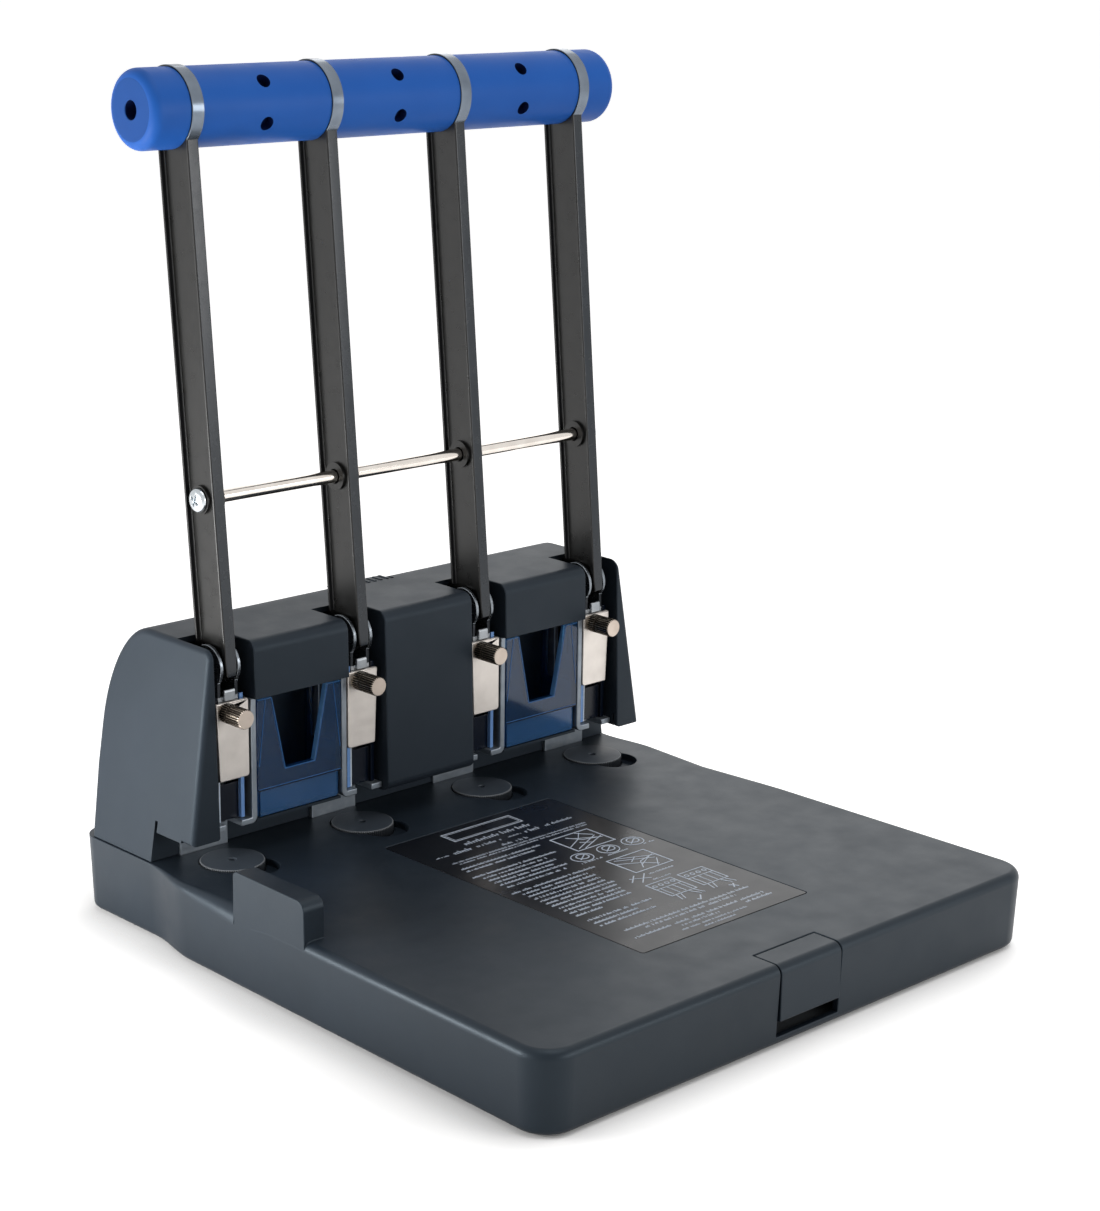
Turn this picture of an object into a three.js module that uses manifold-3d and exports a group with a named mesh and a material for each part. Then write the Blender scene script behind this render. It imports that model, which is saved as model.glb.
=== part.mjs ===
// Four hole lever punch, front toward -Y, hole row along X, lengths in millimetres
import * as THREE from 'three';
import { mergeVertices } from 'three/addons/utils/BufferGeometryUtils.js';
import Module from 'manifold-3d';

const wasm = await Module();
wasm.setup();

// Hole row and throat
const punchSpread = 80;
const throatTop = 16.6;
const throatBack = 23.5;
const punchY = 10;
const stroke = 16.5;
const fit = 0.3;
const over = 20;

// Base moulding
const baseHeight = 38;
const baseFront = 260;
const baseBack = 82;
const baseLedge = 1;
const baseFlare = 5.5;
const baseSplay = 4.5;
const flareStart = 24;
const flareEnd = -12;
const baseFrontCorner = 17;
const baseRearCorner = 12;
const baseEdge = 4.5;
const baseWideEdge = 8.5;
const baseCrispEdge = 0.4;
const baseEdgeFade = 50;
const baseWall = 3;
const sideLean = 1.6;

// Paper stop wall
const stopThick = 10;
const stopNear = -50.5;
const stopFar = -103;
const stopHeight = 19;
const stopRoot = 10;
const stopSink = 0.06;
const stopRoundRear = 3;
const stopRoundFront = 5;

// Cutting discs and their recesses
const discRadius = 15.6;
const discProud = 0.8;
const discThick = 6;
const discHole = 1.7;
const discChamfer = 0.6;
const spigotRadius = 1.3;
const recessFloor = 2.7;
const recessRim = 3;
const pocketRadius = 12;
const pocketDepth = 3.8;
const pocketX = 3.5;
const pocketY = -13;

// Label panel
const labelHalf = 54.5;
const labelBack = -34.8;
const labelFront = -209.4;
const labelThick = 0.9;
const labelCorner = 1.5;

// Bottom plate and feet
const plateThick = 2;
const plateLift = 0.5;
const footRadius = 9;
const footProud = 1.2;
const footInset = 29.5;
const footFrontY = -235;
const footBackY = 58;

// Front drawer
const drawerHalf = 19.8;
const drawerSeam = 0.7;
const drawerTopDepth = 16.4;
const drawerFaceHeight = 26.3;
const drawerGripTop = 33.7;
const drawerWall = 2.4;
const drawerTrayHalf = 16.8;
const drawerTrayDepth = 96;
const drawerTrayHeight = 16;
const railThick = 2;
const railLedge = 4;
const drawerSink = 0.1;

// Top cover
const coverFront = 4.5;
const coverBack = 78;
const coverTop = 107;
const cheekWidth = 19;
const coverTaperShare = 0.1136;
const coverRearRadius = 32;
const coverFrontRadius = 5.5;
const coverEdge = 5;
const coverWall = 3;
const coverSeat = 0.3;
const slotHalf = 11.5;
const slotBack = 24;
const lintelBottom = 79;
const lintelReturn = 13.5;
const blockBottom = 18.5;
const frontWall = 2.5;
const cavityFront = 21.5;
const reliefWidth = 2;
const reliefHeight = 7;
const backWallY = 25.6;
const backWallThick = 2.4;
const backWallInset = 4.5;
const shelfTop = 17.9;
const shelfDepth = 36;
const shelfFront = 1;

// Steel frames
const frameOuter = 14;
const frameSteel = 3;
const frameFrontY = -1.9;
const frameShortOuter = 11.2;
const frameShortSteel = 2.3;
const frameShortFrontY = 8;
const frameWebY = 22.1;
const frameWebTop = 75;
const frameWallTop = 78.6;
const frameFootSlot = 4.6;
const frameFootSlotBack = 15.5;
const frameArmTop = 8.5;
const frameArmThick = 3.6;
const frameArmFront = -14;
const frameArmRound = 5;
const earRadius = 9;
const windowNear = 4;
const windowFar = 16;
const windowLow = 44;
const windowHigh = 72;

// Lever mechanism
const crankRadius = 16.5;
const crankRestDegrees = 30;
const crankPinY = 9;
const crankPinZ = 95.5;
const crankPinRadius = 2.5;
const shaftRadius = 4.5;
const shaftOverhang = 12.6;
const hubRadius = 8;
const hubHalf = 8.4;

// Lever arms
const leverHalf = 3.3;
const leverDepth = 19.2;
const leverFootZ = 92.5;
const leverFrontY = -0.9;
const leverFrontZ = 111.4;
const leverLeanShare = 0.0905;
const leverWeb = 1.6;
const leverFlange = 1.3;
const leverSkirtZ = 106;
const noseHalf = 2.7;
const noseWeb = 2;
const leverChannelLow = 114;
const leverLip = 2.5;
const leverLipThick = 1.2;
const noseRound = 3;
const rodBossRadius = 6.8;
const rodBossProud = 1.6;

// Grip and tie rod
const gripBack = 13.02;
const gripDrop = 13;
const gripZ = 351;
const gripRadius = 18.4;
const gripOverhang = 23.3;
const gripRound = 5;
const gripHoleRadius = 4.4;
const gripHoleDepth = 10;
const gripDimpleRadius = 3.5;
const gripDimpleDepth = 5;
const gripDimpleUpperDegrees = 38.5;
const gripDimpleLowerDegrees = 25.5;
const strapThick = 0.8;
const strapFit = 0.1;
const rodY = 13.8;
const rodZ = 174.2;
const rodRadius = 3.1;
const rodTap = 2;
const screwHeadRadius = 5.8;
const screwHeadHeight = 2.6;
const screwLength = 12;

// Punch units
const plateHalfTop = 9.5;
const plateHalfLow = 8.5;
const plateTop = 79.3;
const plateLow = 41;
const plateFrontY = -1.6;
const clampThick = 2;
const plateRoundLow = 2;
const plateRoundTop = 0.8;
const knobX = -3.6;
const knobZ = 75.2;
const knobRadius = 4.75;
const knobFaceY = -17.6;
const knobGrooveY = -7.2;
const knobGroove = 0.8;
const knobGrooveDepth = 0.45;
const knobChamfer = 0.5;
const shankRadius = 1.5;
const shankEndY = 8;
const carrierHalf = 5.9;
const carrierBackY = 16.8;
const carrierFrontY = 3.2;
const carrierBossY = 0.7;
const carrierLow = 55;
const carrierBossLow = 60;
const carrierTop = 78.8;
const chuteLow = 62;
const chuteHigh = 70;
const punchRadius = 3.7;
const punchEdge = 3.1;
const punchBore = 2.3;
const punchTaper = 5;
const yokeRadius = 10.5;
const yokePlate = 1.8;
const yokeBackY = 13.5;
const yokeStemY = 1.2;
const yokeBase = 2.6;
const tongueHalf = 3.3;
const tongueY = -0.5;
const tongueThick = 1.7;
const tongueTop = 85.2;
const tongueCurl = 1;
const tongueTip = 0.4;
const tongueLift = 0.6;

// Blue slide guides
const guideInner = 6.5;
const guideOuter = 8.6;
const guideFrontY = 1;
const guideBackY = 17.2;
const guideBackThick = 2.2;
const guideTop = 82;
const guideRearTop = 73;
const guideRearY = 12;
const guideApron = 37.8;
const guideApronY = 3;
const guideApronThick = 1.2;

// Return springs
const springWire = 0.7;
const springRadius = 4.8;
const springTurns = 6;

// Chip bins
const binSideGap = 0.7;
const binFrontY = -1.9;
const binBackY = 50;
const binLow = 18.3;
const binTop = 77.3;
const binWall = 1.8;
const binFrontThick = 3.2;
const binLedgeZ = 31.5;
const binStep = 1.2;
const binInsetSide = 1.8;
const notchTopHalf = 16.6;
const notchLowHalf = 8.8;
const notchLow = 40.2;

// Facet counts
const arcSteps = 4;
const bevelSteps = 3;
const coilSides = 5;
const coilSteps = 9;
const roundFacets = 28;
const gripFacets = 40;
const smallFacets = 16;

const unitCentres = [-1.5, -0.5, 0.5, 1.5].map((share) => share * punchSpread);
const binSides = [1, -1, 1, -1];
const binCentres = [-punchSpread, punchSpread];
const binHalf = punchSpread / 2 - frameOuter - binSideGap;
const coverHalf = unitCentres[3] + slotHalf + cheekWidth;
const backWallHalf = coverHalf - backWallInset;
const baseHalfRear = coverHalf + baseLedge;
const baseHalfWaist = baseHalfRear + baseFlare;
const baseHalfFront = baseHalfWaist + baseSplay;
const leverTopZ = gripZ - gripDrop;
const gripY = leverFront(gripZ) + gripBack;
const shaftHalf = unitCentres[3] + shaftOverhang;
const gripHalf = unitCentres[3] + gripOverhang;
const pivotY = crankPinY + crankRadius * Math.cos(THREE.MathUtils.degToRad(crankRestDegrees));
const pivotZ = crankPinZ - crankRadius * Math.sin(THREE.MathUtils.degToRad(crankRestDegrees));
const leverSkirtBack = pivotY + hubRadius;
const discTop = discProud;
const discLow = discProud - discThick;
const recessDepth = -discLow + fit;
const shaftClear = shaftRadius + fit;
const clampBackY = plateFrontY + clampThick;
const yokeLow = carrierTop + fit;
const punchTip = discTop + fit + stroke;
const springLow = throatTop + frameSteel + fit;
const springHigh = carrierLow - fit;

// Shape helpers
function toBody(geometry) {
  const bare = geometry.clone();
  bare.deleteAttribute('normal');
  bare.deleteAttribute('uv');
  const merged = mergeVertices(bare, 1e-4);
  const kept = [];
  const index = merged.index.array;
  for (let i = 0; i < index.length; i += 3) {
    const [a, b, c] = [index[i], index[i + 1], index[i + 2]];
    if (a !== b && b !== c && a !== c) {
      kept.push(a, b, c);
    }
  }
  const mesh = new wasm.Mesh({
    numProp: 3,
    vertProperties: new Float32Array(merged.attributes.position.array),
    triVerts: new Uint32Array(kept),
  });
  return new wasm.Manifold(mesh);
}

function box(x0, x1, y0, y1, z0, z1) {
  const shape = new THREE.BoxGeometry(Math.abs(x1 - x0), Math.abs(y1 - y0), Math.abs(z1 - z0));
  shape.translate((x0 + x1) / 2, (y0 + y1) / 2, (z0 + z1) / 2);
  return toBody(shape);
}

function rodX(x0, x1, y, z, radius, facets) {
  const shape = new THREE.CylinderGeometry(radius, radius, Math.abs(x1 - x0), facets);
  shape.rotateZ(Math.PI / 2);
  shape.translate((x0 + x1) / 2, y, z);
  return toBody(shape);
}

function rodY_(x, y0, y1, z, radius, facets) {
  const shape = new THREE.CylinderGeometry(radius, radius, Math.abs(y1 - y0), facets);
  shape.translate(x, (y0 + y1) / 2, z);
  return toBody(shape);
}

function rodZ_(x, y, z0, z1, radius, facets) {
  const shape = new THREE.CylinderGeometry(radius, radius, Math.abs(z1 - z0), facets);
  shape.rotateX(Math.PI / 2);
  shape.translate(x, y, (z0 + z1) / 2);
  return toBody(shape);
}

function turned(profile, facets) {
  return new THREE.LatheGeometry(profile.map(([r, h]) => new THREE.Vector2(r, h)), facets);
}

function outline(corners) {
  const points = [];
  const count = corners.length;
  const origin = new THREE.Vector2();
  corners.forEach(([u, v, radius], i) => {
    const here = new THREE.Vector2(u, v);
    if (!radius) {
      points.push(here);
      return;
    }
    const before = corners[(i + count - 1) % count];
    const after = corners[(i + 1) % count];
    const back = new THREE.Vector2(before[0], before[1]).sub(here).normalize();
    const ahead = new THREE.Vector2(after[0], after[1]).sub(here).normalize();
    const half = Math.acos(back.dot(ahead)) / 2;
    const reach = radius / Math.tan(half);
    const middle = back.clone().add(ahead).normalize().multiplyScalar(radius / Math.sin(half)).add(here);
    const start = here.clone().addScaledVector(back, reach).sub(middle);
    const end = here.clone().addScaledVector(ahead, reach).sub(middle);
    const sweep = Math.atan2(start.cross(end), start.dot(end));
    for (let step = 0; step <= arcSteps; step += 1) {
      points.push(start.clone().rotateAround(origin, (sweep * step) / arcSteps).add(middle));
    }
  });
  return points;
}

function extruded(points, depth, edge) {
  const bevel = {
    bevelEnabled: edge > 0,
    bevelSize: edge,
    bevelThickness: edge,
    bevelOffset: -edge,
    bevelSegments: bevelSteps,
  };
  const shape = new THREE.ExtrudeGeometry(new THREE.Shape(points), { depth: depth - 2 * edge, ...bevel });
  shape.translate(0, 0, edge);
  return shape;
}

// Outline in Y and Z pushed along X
function slabX(points, x0, x1, edge = 0) {
  const shape = extruded(points, x1 - x0, edge);
  const turn = new THREE.Matrix4();
  turn.makeBasis(new THREE.Vector3(0, 1, 0), new THREE.Vector3(0, 0, 1), new THREE.Vector3(1, 0, 0));
  shape.applyMatrix4(turn);
  shape.translate(x0, 0, 0);
  return shape;
}

// Outline in X and Z pushed along Y
function slabY(points, y0, y1) {
  const shape = extruded(points, y1 - y0, 0);
  const turn = new THREE.Matrix4();
  turn.makeBasis(new THREE.Vector3(1, 0, 0), new THREE.Vector3(0, 0, 1), new THREE.Vector3(0, -1, 0));
  shape.applyMatrix4(turn);
  shape.translate(0, y1, 0);
  return shape;
}

// Outline in X and Y pushed along Z
function slabZ(points, z0, z1, edge = 0) {
  const shape = extruded(points, z1 - z0, edge);
  shape.translate(0, 0, z0);
  return shape;
}

function bend(shape, change) {
  const place = shape.attributes.position;
  const at = new THREE.Vector3();
  for (let i = 0; i < place.count; i += 1) {
    at.fromBufferAttribute(place, i);
    change(at);
    place.setXYZ(i, at.x, at.y, at.z);
  }
  return shape;
}

function joinAll(bodies) {
  return bodies.reduce((sum, body) => sum.add(body));
}

// Closed skin through rings of equal count, lowest ring first
function lofted(rings) {
  const count = rings[0].length;
  const top = (rings.length - 1) * count;
  const index = [];
  for (let low = 0; low < top; low += count) {
    for (let k = 0; k < count; k += 1) {
      const next = (k + 1) % count;
      index.push(low + k, low + next, low + count + next);
      index.push(low + k, low + count + next, low + count + k);
    }
  }
  const flat = (ring) => ring.map((at) => new THREE.Vector2(at.x, at.y));
  THREE.ShapeUtils.triangulateShape(flat(rings[0]), []).forEach(([a, b, c]) => index.push(a, c, b));
  THREE.ShapeUtils.triangulateShape(flat(rings.at(-1)), []).forEach(([a, b, c]) => {
    index.push(top + a, top + b, top + c);
  });
  const shape = new THREE.BufferGeometry();
  const place = rings.flat().flatMap((at) => [at.x, at.y, at.z]);
  shape.setAttribute('position', new THREE.Float32BufferAttribute(place, 3));
  shape.setIndex(index);
  return toBody(shape);
}

// Base plan outline, waisted under the cover and flared in front of it
function basePlan() {
  const flare = [0, 0.2, 0.4, 0.6, 0.8, 1];
  const straight = [stopNear, stopNear - baseEdgeFade / 2, stopNear - baseEdgeFade];
  const right = [[baseHalfRear, baseBack, baseRearCorner]];
  flare.forEach((share) => {
    const swing = (1 - Math.cos(Math.PI * share)) / 2;
    const x = baseHalfRear + (baseHalfWaist - baseHalfRear) * swing;
    right.push([x, flareStart + (flareEnd - flareStart) * share, 0]);
  });
  straight.forEach((y) => {
    const share = (flareEnd - y) / (flareEnd + baseFront);
    right.push([baseHalfWaist + (baseHalfFront - baseHalfWaist) * share, y, 0]);
  });
  right.push([baseHalfFront, -baseFront, baseFrontCorner]);
  const left = right.map(([x, y, r]) => [-x, y, r]).reverse();
  return outline([...left, ...right].reverse());
}

function insetPlan(inset) {
  const shareX = 1 - inset / baseHalfWaist;
  const shareY = 1 - (2 * inset) / (baseFront + baseBack);
  const middle = (baseBack - baseFront) / 2;
  return basePlan().map((p) => new THREE.Vector2(p.x * shareX, middle + (p.y - middle) * shareY));
}

function drafted(shape) {
  return bend(shape, (at) => {
    const depth = Math.min(at.z, 0) / baseHeight;
    at.x *= 1 + (sideLean * depth) / baseHalfFront;
    at.y *= 1 + (sideLean * depth) / baseFront;
  });
}

// Ring round the plan at the height and inset that the callback gives for each point
function planRing(plan, level) {
  return plan.map((p, i) => {
    const before = plan[(i + plan.length - 1) % plan.length];
    const after = plan[(i + 1) % plan.length];
    const out = new THREE.Vector2(after.y - before.y, before.x - after.x).normalize();
    const { z, inset } = level(p);
    const drawn = inset - (sideLean * Math.min(z, 0)) / baseHeight;
    return new THREE.Vector3(p.x - out.x * drawn, p.y - out.y * drawn, z);
  });
}

// Top edge radius: crisp under the cover, widest beside the stop wall, even further forward
function edgeRadius(y) {
  if (y > flareStart) {
    return baseCrispEdge;
  }
  if (y > stopNear) {
    return baseCrispEdge + ((baseWideEdge - baseCrispEdge) * (flareStart - y)) / (flareStart - stopNear);
  }
  return baseWideEdge + (baseEdge - baseWideEdge) * Math.min((stopNear - y) / baseEdgeFade, 1);
}

function baseShell() {
  const plan = basePlan();
  const steps = Array.from({ length: bevelSteps + 1 }, (_, i) => (Math.PI * i) / (2 * bevelSteps));
  const rings = steps.map((turn) => planRing(plan, (p) => {
    const radius = edgeRadius(p.y);
    return { z: radius * (Math.sin(turn) - 1), inset: radius * (1 - Math.cos(turn)) };
  }));
  const body = lofted([planRing(plan, () => ({ z: -baseHeight, inset: 0 })), ...rings]);
  const tall = lofted([-2 * stopRoot, 0, 2 * stopHeight].map((z) => planRing(plan, () => ({ z, inset: stopSink }))));
  const fence = outline([
    [stopFar, -stopRoot, 0],
    [stopNear, -stopRoot, 0],
    [stopNear, stopHeight, stopRoundRear],
    [stopFar, stopHeight, stopRoundFront],
  ]);
  const stopInner = baseHalfWaist - stopThick;
  const wall = toBody(slabX(fence, -baseFront, -stopInner)).intersect(tall);
  let shell = body.add(wall);
  shell = shell.subtract(toBody(drafted(slabZ(insetPlan(baseWall), -baseHeight - over, -baseWall))));
  const floors = [];
  const cuts = [];
  unitCentres.forEach((x) => {
    const floorZ = -recessDepth - recessFloor;
    const rim = discRadius + fit + recessRim;
    floors.push(rodZ_(x, 0, floorZ, -baseWall / 2, rim, roundFacets));
    floors.push(rodZ_(x + pocketX, pocketY, floorZ, -baseWall / 2, pocketRadius + recessRim, roundFacets));
    cuts.push(rodZ_(x, 0, -recessDepth, over, discRadius + fit, roundFacets));
    cuts.push(rodZ_(x + pocketX, pocketY, -pocketDepth, over, pocketRadius, roundFacets));
    const webLow = frameWebY - fit;
    const webHigh = frameWebY + frameSteel + fit;
    cuts.push(box(x - frameOuter - fit, x + frameOuter + fit, webLow, webHigh, -baseHeight / 2, over));
  });
  shell = shell.add(joinAll(floors)).subtract(joinAll(cuts));
  unitCentres.forEach((x) => {
    shell = shell.add(rodZ_(x, 0, -recessDepth - fit, discTop - 2 * fit, spigotRadius, smallFacets));
  });
  const labelCut = box(
    -labelHalf - fit, labelHalf + fit, labelFront - fit, labelBack + fit, -labelThick - fit, over,
  );
  const seamHalf = drawerHalf + drawerSeam;
  const seamBack = -baseFront + drawerTopDepth + drawerSeam;
  const gripCut = box(-seamHalf, seamHalf, -baseFront - over, seamBack, -drawerGripTop, over);
  shell = shell.subtract(labelCut).subtract(gripCut);
  const rails = [];
  [-1, 1].forEach((side) => {
    const inner = drawerTrayHalf + fit;
    const trayLow = -drawerFaceHeight;
    const railEnd = seamBack + drawerTrayDepth;
    rails.push(box(
      side * inner, side * (inner + railThick), seamBack + fit, railEnd,
      trayLow - fit - railThick, -baseWall / 2,
    ));
    rails.push(box(
      side * (inner - railLedge), side * (inner + railThick), seamBack + fit, railEnd,
      trayLow - fit - railThick, trayLow - fit,
    ));
  });
  return shell.add(joinAll(rails));
}

function bottomPlate() {
  const low = -baseHeight + plateLift;
  return toBody(drafted(slabZ(insetPlan(baseWall + fit), low, low + plateThick)));
}

function foot(x, y) {
  return rodZ_(x, y, -baseHeight - footProud, -baseHeight + plateLift - fit, footRadius, roundFacets);
}

function label() {
  const plan = outline([
    [-labelHalf, labelFront, labelCorner],
    [labelHalf, labelFront, labelCorner],
    [labelHalf, labelBack, labelCorner],
    [-labelHalf, labelBack, labelCorner],
  ]);
  return toBody(slabZ(plan, -labelThick, 0));
}

function drawer() {
  const front = -baseFront;
  const topBack = front + drawerTopDepth;
  const faceLow = -drawerFaceHeight;
  const high = -drawerSink;
  const profile = outline([
    [front, faceLow, 0],
    [front + drawerWall, faceLow, 0],
    [front + drawerWall, high - drawerWall, 0],
    [topBack, high - drawerWall, 0],
    [topBack, high, 0],
    [front, high, baseEdge],
  ]);
  const face = toBody(slabX(profile, -drawerHalf, drawerHalf));
  const trayBack = topBack + drawerTrayDepth - drawerTopDepth;
  const trayTop = faceLow + drawerTrayHeight;
  const outer = box(-drawerTrayHalf, drawerTrayHalf, front + drawerWall / 2, trayBack, faceLow, trayTop);
  const wall = drawerWall;
  const inner = box(
    -drawerTrayHalf + wall, drawerTrayHalf - wall, front + 2 * wall, trayBack - wall, faceLow + wall, over,
  );
  return face.add(outer.subtract(inner));
}

// Cover side and top outline, with a full radius at the rear
function coverShape(inset, half, low, edge) {
  const profile = outline([
    [-coverFront + inset, low, 0],
    [coverBack - inset, low, 0],
    [coverBack - inset, coverTop - inset, coverRearRadius - inset],
    [-coverFront + inset, coverTop - inset, coverFrontRadius],
  ]);
  return toBody(bend(slabX(profile, -half, half, edge), (at) => {
    at.x *= 1 - (coverTaperShare * at.z) / coverTop;
  }));
}

function cover() {
  const wide = 2 * coverHalf;
  const roof = coverTop - coverWall;
  let shell = coverShape(0, coverHalf, -over, coverEdge);
  shell = shell.intersect(box(-wide, wide, -wide, wide, coverSeat, 2 * coverTop));
  const inside = coverShape(coverWall, coverHalf - coverWall, -over, 0);
  shell = shell.subtract(inside.intersect(box(-wide, wide, cavityFront, wide, -over, roof)));
  const inner = -coverFront + frontWall;
  const blockHalf = punchSpread / 2 - slotHalf;
  const hollowHalf = blockHalf - frontWall;
  const cuts = [
    box(-hollowHalf, hollowHalf, inner, cavityFront + fit, blockBottom + frontWall, roof),
    box(-blockHalf - fit, blockHalf + fit, -over, throatBack, -over, blockBottom),
    box(-wide, wide, -over, throatBack, -over, throatTop),
    rodX(-shaftHalf - fit, shaftHalf + fit, pivotY, pivotZ, shaftClear, smallFacets),
  ];
  unitCentres.forEach((x) => {
    cuts.push(box(x - slotHalf, x + slotHalf, -over, slotBack, -over, 2 * coverTop));
  });
  binCentres.forEach((x) => {
    const half = punchSpread / 2 - slotHalf;
    cuts.push(box(x - half - fit, x + half + fit, -over, cavityFront + fit, -over, lintelBottom));
    cuts.push(box(
      x - half + frontWall, x + half - frontWall, inner, cavityFront + fit, lintelBottom + frontWall, roof,
    ));
    cuts.push(box(x - half - fit, x + half + fit, lintelReturn, cavityFront + fit, lintelBottom, roof));
  });
  [-1, 1].forEach((side) => {
    const root = side * (unitCentres[3] + slotHalf - fit);
    const tip = side * wide;
    cuts.push(box(root, tip, throatBack - reliefWidth, throatBack, 0, throatTop + reliefHeight));
  });
  shell = shell.subtract(joinAll(cuts));
  const shelves = [
    box(-backWallHalf, backWallHalf, backWallY, backWallY + backWallThick, coverSeat, shelfTop - backWallThick),
  ];
  binCentres.forEach((x) => {
    const half = punchSpread / 2 - frameOuter - fit;
    shelves.push(box(x - half, x + half, -shelfFront, backWallY + shelfDepth, throatTop, shelfTop));
    shelves.push(box(
      x - half, x + half, backWallY, backWallY + backWallThick, shelfTop - 2 * backWallThick, shelfTop,
    ));
  });
  return shell.add(joinAll(shelves));
}

function frameWall(x0, x1, frontY) {
  const backY = frameWebY + frameSteel;
  const wall = box(x0, x1, frontY, backY, throatTop, frameWallTop);
  const neck = box(x0, x1, pivotY - earRadius, backY, frameWallTop - earRadius, pivotZ);
  const ear = rodX(x0, x1, pivotY, pivotZ, earRadius, roundFacets);
  return wall.add(neck).add(ear);
}

function frame(x, side) {
  const backY = frameWebY + frameSteel;
  const web = box(x - frameOuter, x + frameOuter, frameWebY, backY, -frameArmTop - frameArmThick, frameWebTop);
  const binWallIn = x + side * (frameOuter - frameSteel);
  const full = frameWall(binWallIn, x + side * frameOuter, frameFrontY);
  const short = frameWall(
    x - side * (frameShortOuter - frameShortSteel), x - side * frameShortOuter, frameShortFrontY,
  );
  const foot = box(
    x - side * frameShortOuter, x + side * frameOuter, frameFrontY, backY, throatTop, throatTop + frameSteel,
  );
  const armPlan = outline([
    [x - frameOuter, frameArmFront, frameArmRound],
    [x + frameOuter, frameArmFront, frameArmRound],
    [x + frameOuter, backY, 0],
    [x - frameOuter, backY, 0],
  ]);
  const arm = toBody(slabZ(armPlan, -frameArmTop - frameArmThick, -frameArmTop));
  const slot = box(
    x - frameFootSlot, x + frameFootSlot, -over, frameFootSlotBack, throatTop - fit, throatTop + frameSteel + fit,
  );
  const window = box(
    x + side * guideOuter, x + side * (frameOuter + fit), windowNear, windowFar, windowLow, windowHigh,
  );
  const bore = rodX(x - 2 * frameOuter, x + 2 * frameOuter, pivotY, pivotZ, shaftClear, smallFacets);
  return joinAll([web, full, short, foot, arm]).subtract(joinAll([slot, window, bore]));
}

function shaft() {
  return rodX(-shaftHalf, shaftHalf, pivotY, pivotZ, shaftRadius, smallFacets);
}

function leverFront(z) {
  return leverFrontY + (z - leverFrontZ) * leverLeanShare;
}

// Pressed channel arm with a nose for the crank pin, a hub on the shaft and a strap round the grip
function lever(x) {
  const side = outline([
    [leverFront(leverFootZ), leverFootZ, noseRound],
    [pivotY - hubRadius / 2, pivotZ - hubRadius * 0.86, 0],
    [pivotY + hubRadius * 0.6, pivotZ + hubRadius * 0.8, 0],
    [leverFront(leverChannelLow) + leverDepth, leverChannelLow, 0],
    [leverFront(leverTopZ) + leverDepth, leverTopZ, 0],
    [leverFront(leverTopZ), leverTopZ, 0],
  ]);
  const arm = toBody(slabX(side, x - leverHalf, x + leverHalf));
  const hollow = [
    [leverFront(leverChannelLow) + leverWeb, leverChannelLow],
    [leverFront(leverChannelLow) + 2 * leverDepth, leverChannelLow],
    [leverFront(leverTopZ) + 2 * leverDepth, leverTopZ],
    [leverFront(leverTopZ) + leverWeb, leverTopZ],
  ].map(([y, z]) => new THREE.Vector2(y, z));
  const inside = leverHalf - leverFlange;
  const trough = toBody(slabX(hollow, x - inside, x + inside));
  const edge = [
    [leverFront(leverChannelLow) + leverDepth - leverLipThick, leverChannelLow],
    [leverFront(leverChannelLow) + leverDepth, leverChannelLow],
    [leverFront(leverTopZ) + leverDepth, leverTopZ],
    [leverFront(leverTopZ) + leverDepth - leverLipThick, leverTopZ],
  ].map(([y, z]) => new THREE.Vector2(y, z));
  const lips = toBody(slabX(edge, x - leverHalf - leverLip, x + leverHalf + leverLip));
  const strapOuter = gripRadius + strapFit + strapThick;
  const strap = rodX(x - leverHalf, x + leverHalf, gripY, gripZ, strapOuter, gripFacets);
  const bossHalf = leverHalf + rodBossProud;
  const boss = rodX(x - bossHalf, x + bossHalf, rodY, rodZ, rodBossRadius, smallFacets);
  const hub = rodX(x - hubHalf, x + hubHalf, pivotY, pivotZ, hubRadius, smallFacets);
  const pin = rodX(x - carrierHalf, x + carrierHalf, crankPinY, crankPinZ, crankPinRadius, smallFacets);
  const nose = joinAll([-1, 1].map((way) => box(
    x + way * noseHalf, x + way * over, leverFront(leverFootZ) + noseWeb, leverSkirtBack, 0, leverSkirtZ,
  )));
  const body = arm.subtract(nose).add(lips).subtract(trough).add(strap).add(boss).add(hub).add(pin);
  const grip = rodX(x - over, x + over, gripY, gripZ, gripRadius + strapFit, gripFacets);
  const bore = rodX(x - over, x + over, pivotY, pivotZ, shaftClear, smallFacets);
  const eye = rodX(x - over, x + over, rodY, rodZ, rodRadius + fit, smallFacets);
  return body.subtract(grip).subtract(bore).subtract(eye);
}

function grip() {
  const steps = [0, 0.25, 0.5, 0.75, 1];
  const profile = [[0, -gripHalf + gripHoleDepth], [gripHoleRadius, -gripHalf + gripHoleDepth]];
  profile.push([gripHoleRadius, -gripHalf]);
  steps.forEach((share) => {
    const turn = (share * Math.PI) / 2;
    const r = gripRadius - gripRound + gripRound * Math.sin(turn);
    profile.push([r, -gripHalf + gripRound * (1 - Math.cos(turn))]);
  });
  const far = profile.map(([r, h]) => [r, -h]).reverse();
  const shape = turned([...profile, ...far], gripFacets);
  shape.rotateZ(-Math.PI / 2);
  shape.translate(0, gripY, gripZ);
  const dimples = [];
  [...binCentres, 0].forEach((x) => {
    [-gripDimpleUpperDegrees, gripDimpleLowerDegrees].forEach((degrees) => {
      const turn = Math.PI + THREE.MathUtils.degToRad(degrees);
      const y = gripY + gripRadius * Math.cos(turn);
      const z = gripZ + gripRadius * Math.sin(turn);
      const dimple = new THREE.CylinderGeometry(gripDimpleRadius, gripDimpleRadius, 2 * gripDimpleDepth, smallFacets);
      dimple.rotateX(turn - Math.PI / 2);
      dimple.translate(x, y, z);
      dimples.push(toBody(dimple));
    });
  });
  return toBody(shape).subtract(joinAll(dimples));
}

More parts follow.
